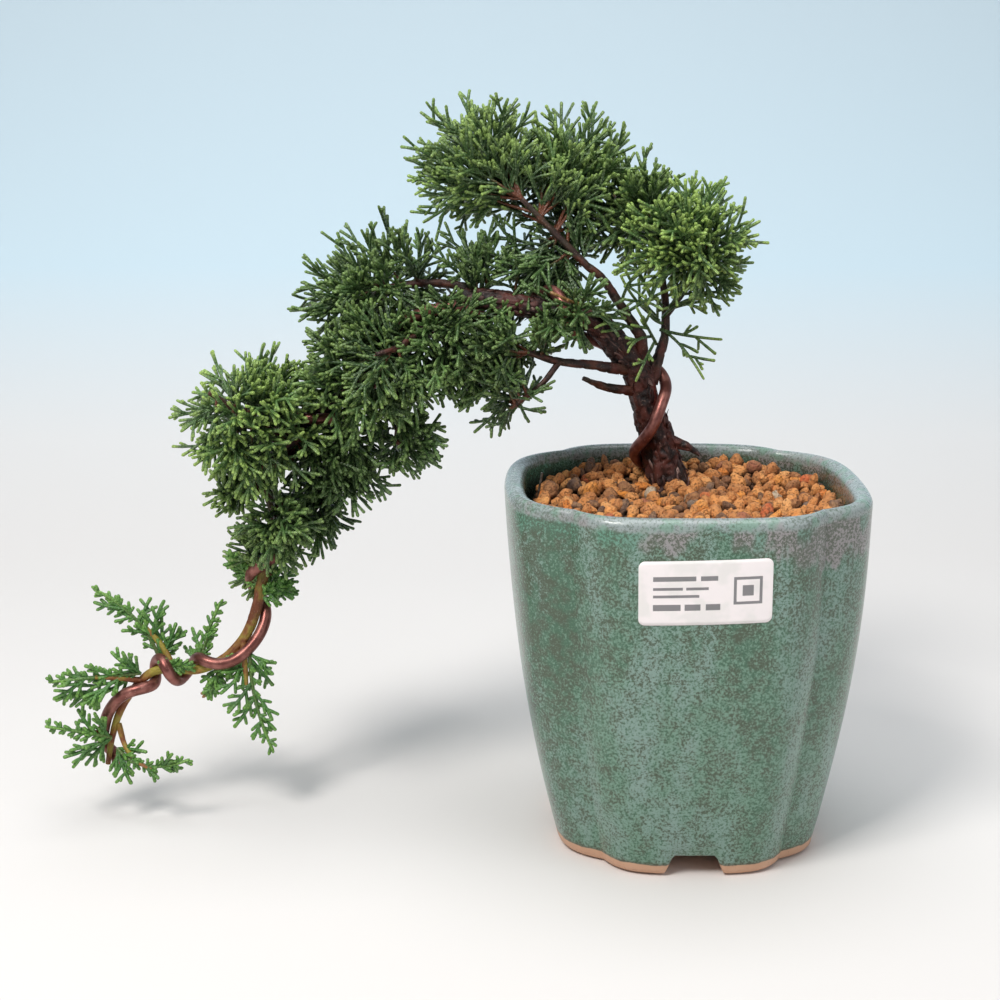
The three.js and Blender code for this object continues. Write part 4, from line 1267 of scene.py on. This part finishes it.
def growSpray(growth, axis, tips, fresh, flat):
    rng = growth.rng
    a, b, c = (Vector(p) for p in axis)
    middle = 2 * b - (a + c) / 2
    route = bezier(a, middle, c, 10)
    stout = 1.18 if flat else 0.95
    tone = rng.uniform(0.55, 0.8) if flat else 0.5
    offset = 0.0
    for k, p in enumerate(route):
        share = k / 10
        girth = shoots["radius"] * stout * (1.15 - 0.2 * share)
        offset += (p - route[max(k - 1, 0)]).length
        wood = 0.35 * (1 - share) if flat else 0.0
        growth.put(p, girth, tone, fresh * smooth(0.5, 1, share), offset, wood, k > 0)
    heading = (route[-1] - route[-2]).normalized()
    growth.put(c + heading * 0.6, shoots["radius"] * 0.6 * stout, tone, fresh, offset + 0.6, 0.0, True)
    track = [(p, (route[min(k + 1, 10)] - route[max(k - 1, 0)]).normalized()) for k, p in enumerate(route)]
    plane = Vector((0, -1, 0))
    for tip in tips:
        tip = Vector(tip)
        # the side shoot leaves the axis where its angle comes out near forty degrees
        share = min((k / 20 for k in range(20)), key=lambda s: abs(
            (tip - growth.along(track, s)[0]).angle(growth.along(track, s)[1]) - 0.72))
        at, going = growth.along(track, share)
        reach = (tip - at).length
        across = (tip - at).cross(plane).normalized()
        growth.sprig(at, (tip - at).normalized() + going * 0.12, reach * 0.97, across, fresh, 0.0,
                     1.6 if flat else 0.6, stout, flat)
    if flat:
        # short shoots fill the axis between the long ones
        hand = 1
        for k in range(14):
            share = 0.12 + 0.84 * k / 13
            at, going = growth.along(track, share)
            hand = -hand
            side = going.cross(plane).normalized() * hand + plane * rng.gauss(0, 0.5)
            turn = going * 0.78 + side * 0.62
            reach = rng.uniform(2.6, 5.0) * (1.15 - 0.5 * share)
            across = going.cross(plane)
            growth.sprig(at, turn.normalized(), reach, across, fresh, 0.0, 1.7, stout * 0.95, True)


leaf = {"deep": (0.008, 0.028, 0.007), "lit": (0.105, 0.215, 0.058), "fresh": (0.42, 0.60, 0.14),
        "bloomAndHighlight": (0.34, 0.46, 0.22), "wood": (0.13, 0.042, 0.020), "dead": (0.30, 0.16, 0.06), "scale": 1.25}
youngLeaf = {"deep": (0.030, 0.105, 0.022), "lit": (0.085, 0.235, 0.045), "fresh": (0.23, 0.44, 0.08)}


def leafMaterial(name, tones, bloomAndHighlightShare):
    material, tree, shader = newMaterial(name, 0.38, Specular_IOR_Level=0.45)
    coords = objectCoords(tree)
    tone = attribute(tree, "tone")
    around = addNode(tree, "ShaderNodeSeparateXYZ", {0: attribute(tree, "around", "Vector")}).outputs
    # scale leaves sit in crossed pairs: the pattern changes sign a quarter turn on and a leaf's length on
    pairs = minus(tree, times(tree, around[0], around[0]),
                 times(tree, around[1], around[1]))
    waves = calc(tree, "COSINE", times(tree, attribute(tree, "along"), math.pi / leaf["scale"]))
    scales = calc(tree, "ABSOLUTE", times(tree, pairs, waves))
    edge = addNode(tree, "ShaderNodeMapRange", {"Value": scales, "From Min": 0.0, "From Max": 0.35})
    edge = edge.outputs[0]
    cloud = patches(tree, coords, 0.045, 0.3, 0.7, 2)
    # tone mixes a shaded green towards a lit green: random differences between sprigs, plus painted light and
    # shade
    mix = calc(tree, "ADD", times(tree, tone, 0.75), times(tree, cloud, 0.3), hold=True)
    colour = blendColour(tree, mix, tones["deep"], tones["lit"])
    # pale scale edges: partly a waxy bloom, partly painted highlight
    bloomAndHighlight = times(tree, times(tree, edge, patches(tree, coords, 0.9, 0.45, 0.6)), bloomAndHighlightShare)
    colour = blendColour(tree, bloomAndHighlight, colour, leaf["bloomAndHighlight"])
    colour = blendColour(tree, attribute(tree, "fresh"), colour, tones["fresh"])
    # painted shade in the seams between scale leaves
    colour = blendColour(tree, minus(tree, 1.0, edge), colour,
                         tuple(0.45 * c for c in tones["deep"]), share=0.45)
    colour = blendColour(tree, calc(tree, "GREATER_THAN", tone, 1.5), colour, leaf["dead"])
    colour = blendColour(tree, attribute(tree, "wood"), colour, leaf["wood"])
    feed(tree, shader, Base_Color=colour)
    bump(tree, shader, scales, 0.22, 0.9)
    return material


def buildFoliage():
    old = leafMaterial("juniper_scale_leaves", leaf, 0.40)
    young = leafMaterial("juniper_young_spray", youngLeaf, 0.15)
    names = list(cushions) + [name for name in sprays if name not in cushions]
    total = 0
    for seed, name in enumerate(names):
        growth = Growth(100 + seed)
        for lobe in cushions.get(name, []):
            growLobe(growth, *lobe)
        for spray in sprays.get(name, []):
            growSpray(growth, spray["axis"], spray["tips"], 0.75, name in flatSprays)
        flat = name.startswith("spray")
        piece = growth.piece(name + "_shoots", name, "young_foliage" if flat else "foliage",
                             young if name in flatSprays else old)
        total += len(piece.data.polygons)
        print(name, len(piece.data.polygons))
    print("foliage faces", total)


buildFoliage()

# plain sticker on the front with generic bars and a square; sizes in millimetres from its middle
sticker = {"width": 40.8, "height": 20.6, "corner": 2, "x": 0.7, "z": 100.4, "tilt": 1.6, "thickness": 0.15,
           "gap": 0.08, "paper": (0.95, 0.88, 0.875), "ink": (0.06, 0.065, 0.075), "square": (0.4, 12.8),
           "bars": [(4.6, -9.5, 0.75, 6.5), (4.6, 1.0, 0.75, 2.6), (1.4, -11.5, 0.45, 4.5),
                    (1.4, -2.6, 0.45, 3.4), (-1.0, -9.0, 0.45, 7.0), (-4.6, -11.8, 1.0, 4.2),
                    (-4.6, -4.0, 1.0, 2.4), (-4.6, 2.2, 1.0, 2.2)]}


def potSurface(x, z, off):
    half = potHalf(z)
    across = half * grooveAt(z)
    y = -lobe(half * depthAt(z), across * pot["grooveDepth"], x / across)
    angle = math.atan2(y, x)
    swell = noise.noise(Vector((math.cos(angle) * 1.6, math.sin(angle) * 1.6, z * 0.018)))
    reach = math.hypot(x, y) + 0.6 * swell + off
    return spot(reach * math.cos(angle) + leanAt(z), reach * math.sin(angle), z)


def buildSticker():
    columns, rows = 60, 16
    half, tall, corner = sticker["width"] / 2, sticker["height"] / 2, sticker["corner"]
    slope = math.tan(math.radians(sticker["tilt"]))
    points, across, down = [], [], []
    places = [-half * math.cos(math.pi * k / columns) for k in range(columns + 1)]
    for off in (sticker["gap"], sticker["gap"] + sticker["thickness"]):
        for x in places:
            past = max(0.0, abs(x) - half + corner)
            reach = tall - corner + math.sqrt(max(corner * corner - past * past, 0.0))
            for k in range(rows + 1):
                z = -reach + 2 * reach * k / rows
                points.append(potSurface(x + sticker["x"], z + sticker["z"] + x * slope, off))
                across.append(x)
                down.append(z)
    stack = rows + 1
    sheet = (columns + 1) * stack
    faces = []
    for i in range(columns):
        for k in range(rows):
            a = i * stack + k
            faces.append((a, a + 1, a + stack + 1, a + stack))
            faces.append((sheet + a, sheet + a + stack, sheet + a + stack + 1, sheet + a + 1))
    rim = [i * stack for i in range(columns + 1)] + [columns * stack + k for k in range(1, stack)]
    rim += [i * stack + rows for i in range(columns - 1, -1, -1)] + [k for k in range(rows - 1, 0, -1)]
    for a, b in zip(rim, rim[1:] + rim[:1]):
        faces.append((a, b, sheet + b, sheet + a))
    obj = addMesh("sticker", points, faces, stickerMaterial())
    addAttribute(obj, "across", across)
    addAttribute(obj, "down", down)
    return finishPiece(obj, "label_paper", "label")


def stickerMaterial():
    material, tree, shader = newMaterial("blank_sticker", 0.55)
    across, down = attribute(tree, "across"), attribute(tree, "down")

    def within(value, middle, reach):
        return calc(tree, "LESS_THAN", calc(tree, "ABSOLUTE", minus(tree, value, middle)), reach)

    ink = None
    for z, x, rise, reach in sticker["bars"]:
        line = times(tree, within(down, z, rise), within(across, x, reach))
        ink = line if ink is None else calc(tree, "MAXIMUM", ink, line)
    z, x = sticker["square"]
    outer, inner, dot = (times(tree, within(across, x, reach), within(down, z, reach))
                         for reach in (4.4, 3.5, 1.7))
    square = calc(tree, "MAXIMUM", minus(tree, outer, inner), dot)
    ink = times(tree, calc(tree, "MAXIMUM", ink, square), 0.8)
    paper = blendColour(tree, patches(tree, objectCoords(tree), 0.15), sticker["paper"], (0.86, 0.82, 0.80))
    feed(tree, shader, Base_Color=blendColour(tree, ink, paper, sticker["ink"]))
    bump(tree, shader, patches(tree, objectCoords(tree), 1.2, 0.3, 0.7, 3), 0.02, 0.5)
    return material


buildSticker()

# wires and net under the soil; the root tie's cut end stands out of it
tieRoute = [(-40, 18, 60), (-44, 18, 80), (-48, 18, 98), (-50, 18, 111), (-48.8, 18, 120.5)]


def buildSmall():
    steel, tree, shader = newMaterial("dull_steel_wire", 0.5, Metallic=0.8)
    stain = patches(tree, objectCoords(tree), 0.6)
    feed(tree, shader, Base_Color=blendColour(tree, stain, (0.10, 0.085, 0.075), (0.22, 0.20, 0.18)))
    growth = Growth(5)
    stem = Stem([(*p, 0.45) for p in tieRoute])
    for k in range(41):
        growth.put(stem.point(4 * k / 40), 0.45, 0.5, 0, k, 0, k > 0)
    growth.piece("tie_wire_strand", "tie_wire", "steel_wire", steel)
    net, tree, shader = newMaterial("black_plastic_net", 0.55)
    dust = patches(tree, objectCoords(tree), 0.5)
    feed(tree, shader, Base_Color=blendColour(tree, dust, (0.012, 0.012, 0.012), (0.05, 0.035, 0.025)))
    for name, material in (("drain_mesh", net), ("mesh_clip", steel)):
        mesh = bpy.data.objects[name].data
        mesh.materials.clear()
        mesh.materials.append(material)


buildSmall()
print("small pieces built")

# stage and light
stage = {"front": -1.6, "bend": 0.30, "radius": 0.75, "width": 3.2, "height": 1.6}


def buildStage():
    profile = [(stage["front"], 0.0), (-0.5, 0.0), (0.0, 0.0), (stage["bend"], 0.0)]
    for k in range(1, 25):
        angle = math.pi / 2 * k / 24
        y = stage["bend"] + stage["radius"] * math.sin(angle)
        profile.append((y, stage["radius"] * (1 - math.cos(angle))))
    profile.append((stage["bend"] + stage["radius"], stage["height"]))
    points = []
    for x in (-stage["width"], stage["width"]):
        points += [Vector((x, y, z - 0.0005)) for y, z in profile]
    count = len(profile)
    faces = [(k, count + k, count + k + 1, k + 1) for k in range(count - 1)]
    material, tree, shader = newMaterial("pale_sweep", 0.9, Specular_IOR_Level=0.1)
    height = addNode(tree, "ShaderNodeSeparateXYZ", {0: objectCoords(tree)}).outputs[2]
    colour = ramp(tree, times(tree, height, 2.0), [
        (0.0, (0.77, 0.735, 0.715)), (0.06, (0.77, 0.76, 0.755)),
        (0.24, (0.64, 0.78, 0.86)), (0.8, (0.59, 0.70, 0.77))])
    feed(tree, shader, Base_Color=colour)
    floor = addMesh("sweep", points, faces, material)


def areaLight(name, place, aim, size, energy, colour):
    data = bpy.data.lights.new(name, "AREA")
    data.shape = "RECTANGLE"
    data.size, data.size_y = size
    data.energy, data.color = energy, colour
    obj = bpy.data.objects.new(name, data)
    obj.location = place
    obj.rotation_euler = (Vector(aim) - Vector(place)).to_track_quat("-Z", "Y").to_euler()
    bpy.context.collection.objects.link(obj)


buildStage()
areaLight("key", (-0.5, -0.65, 1.15), (0.0, 0, 0.12), (0.4, 0.4), 13.5, (1.0, 0.98, 0.95))
areaLight("fill", (1.0, -0.7, 0.6), (0.0, 0, 0.12), (0.8, 0.8), 2.6, (0.95, 0.98, 1.0))
areaLight("top", (0.1, 0.0, 1.3), (0.0, 0.0, 0), (0.9, 0.9), 8.5, (0.97, 0.99, 1.0))
world = bpy.data.worlds.new("soft_sky")
world.use_nodes = True
sky = world.node_tree.nodes["Background"]
sky.inputs[0].default_value = (0.86, 0.93, 1.0, 1)
sky.inputs[1].default_value = 0.27
bpy.context.scene.world = world
bpy.context.scene.view_settings.view_transform = "Standard"
bpy.context.scene.view_settings.look = "None"


def corners(box):
    return [list(corner) for corner in box]
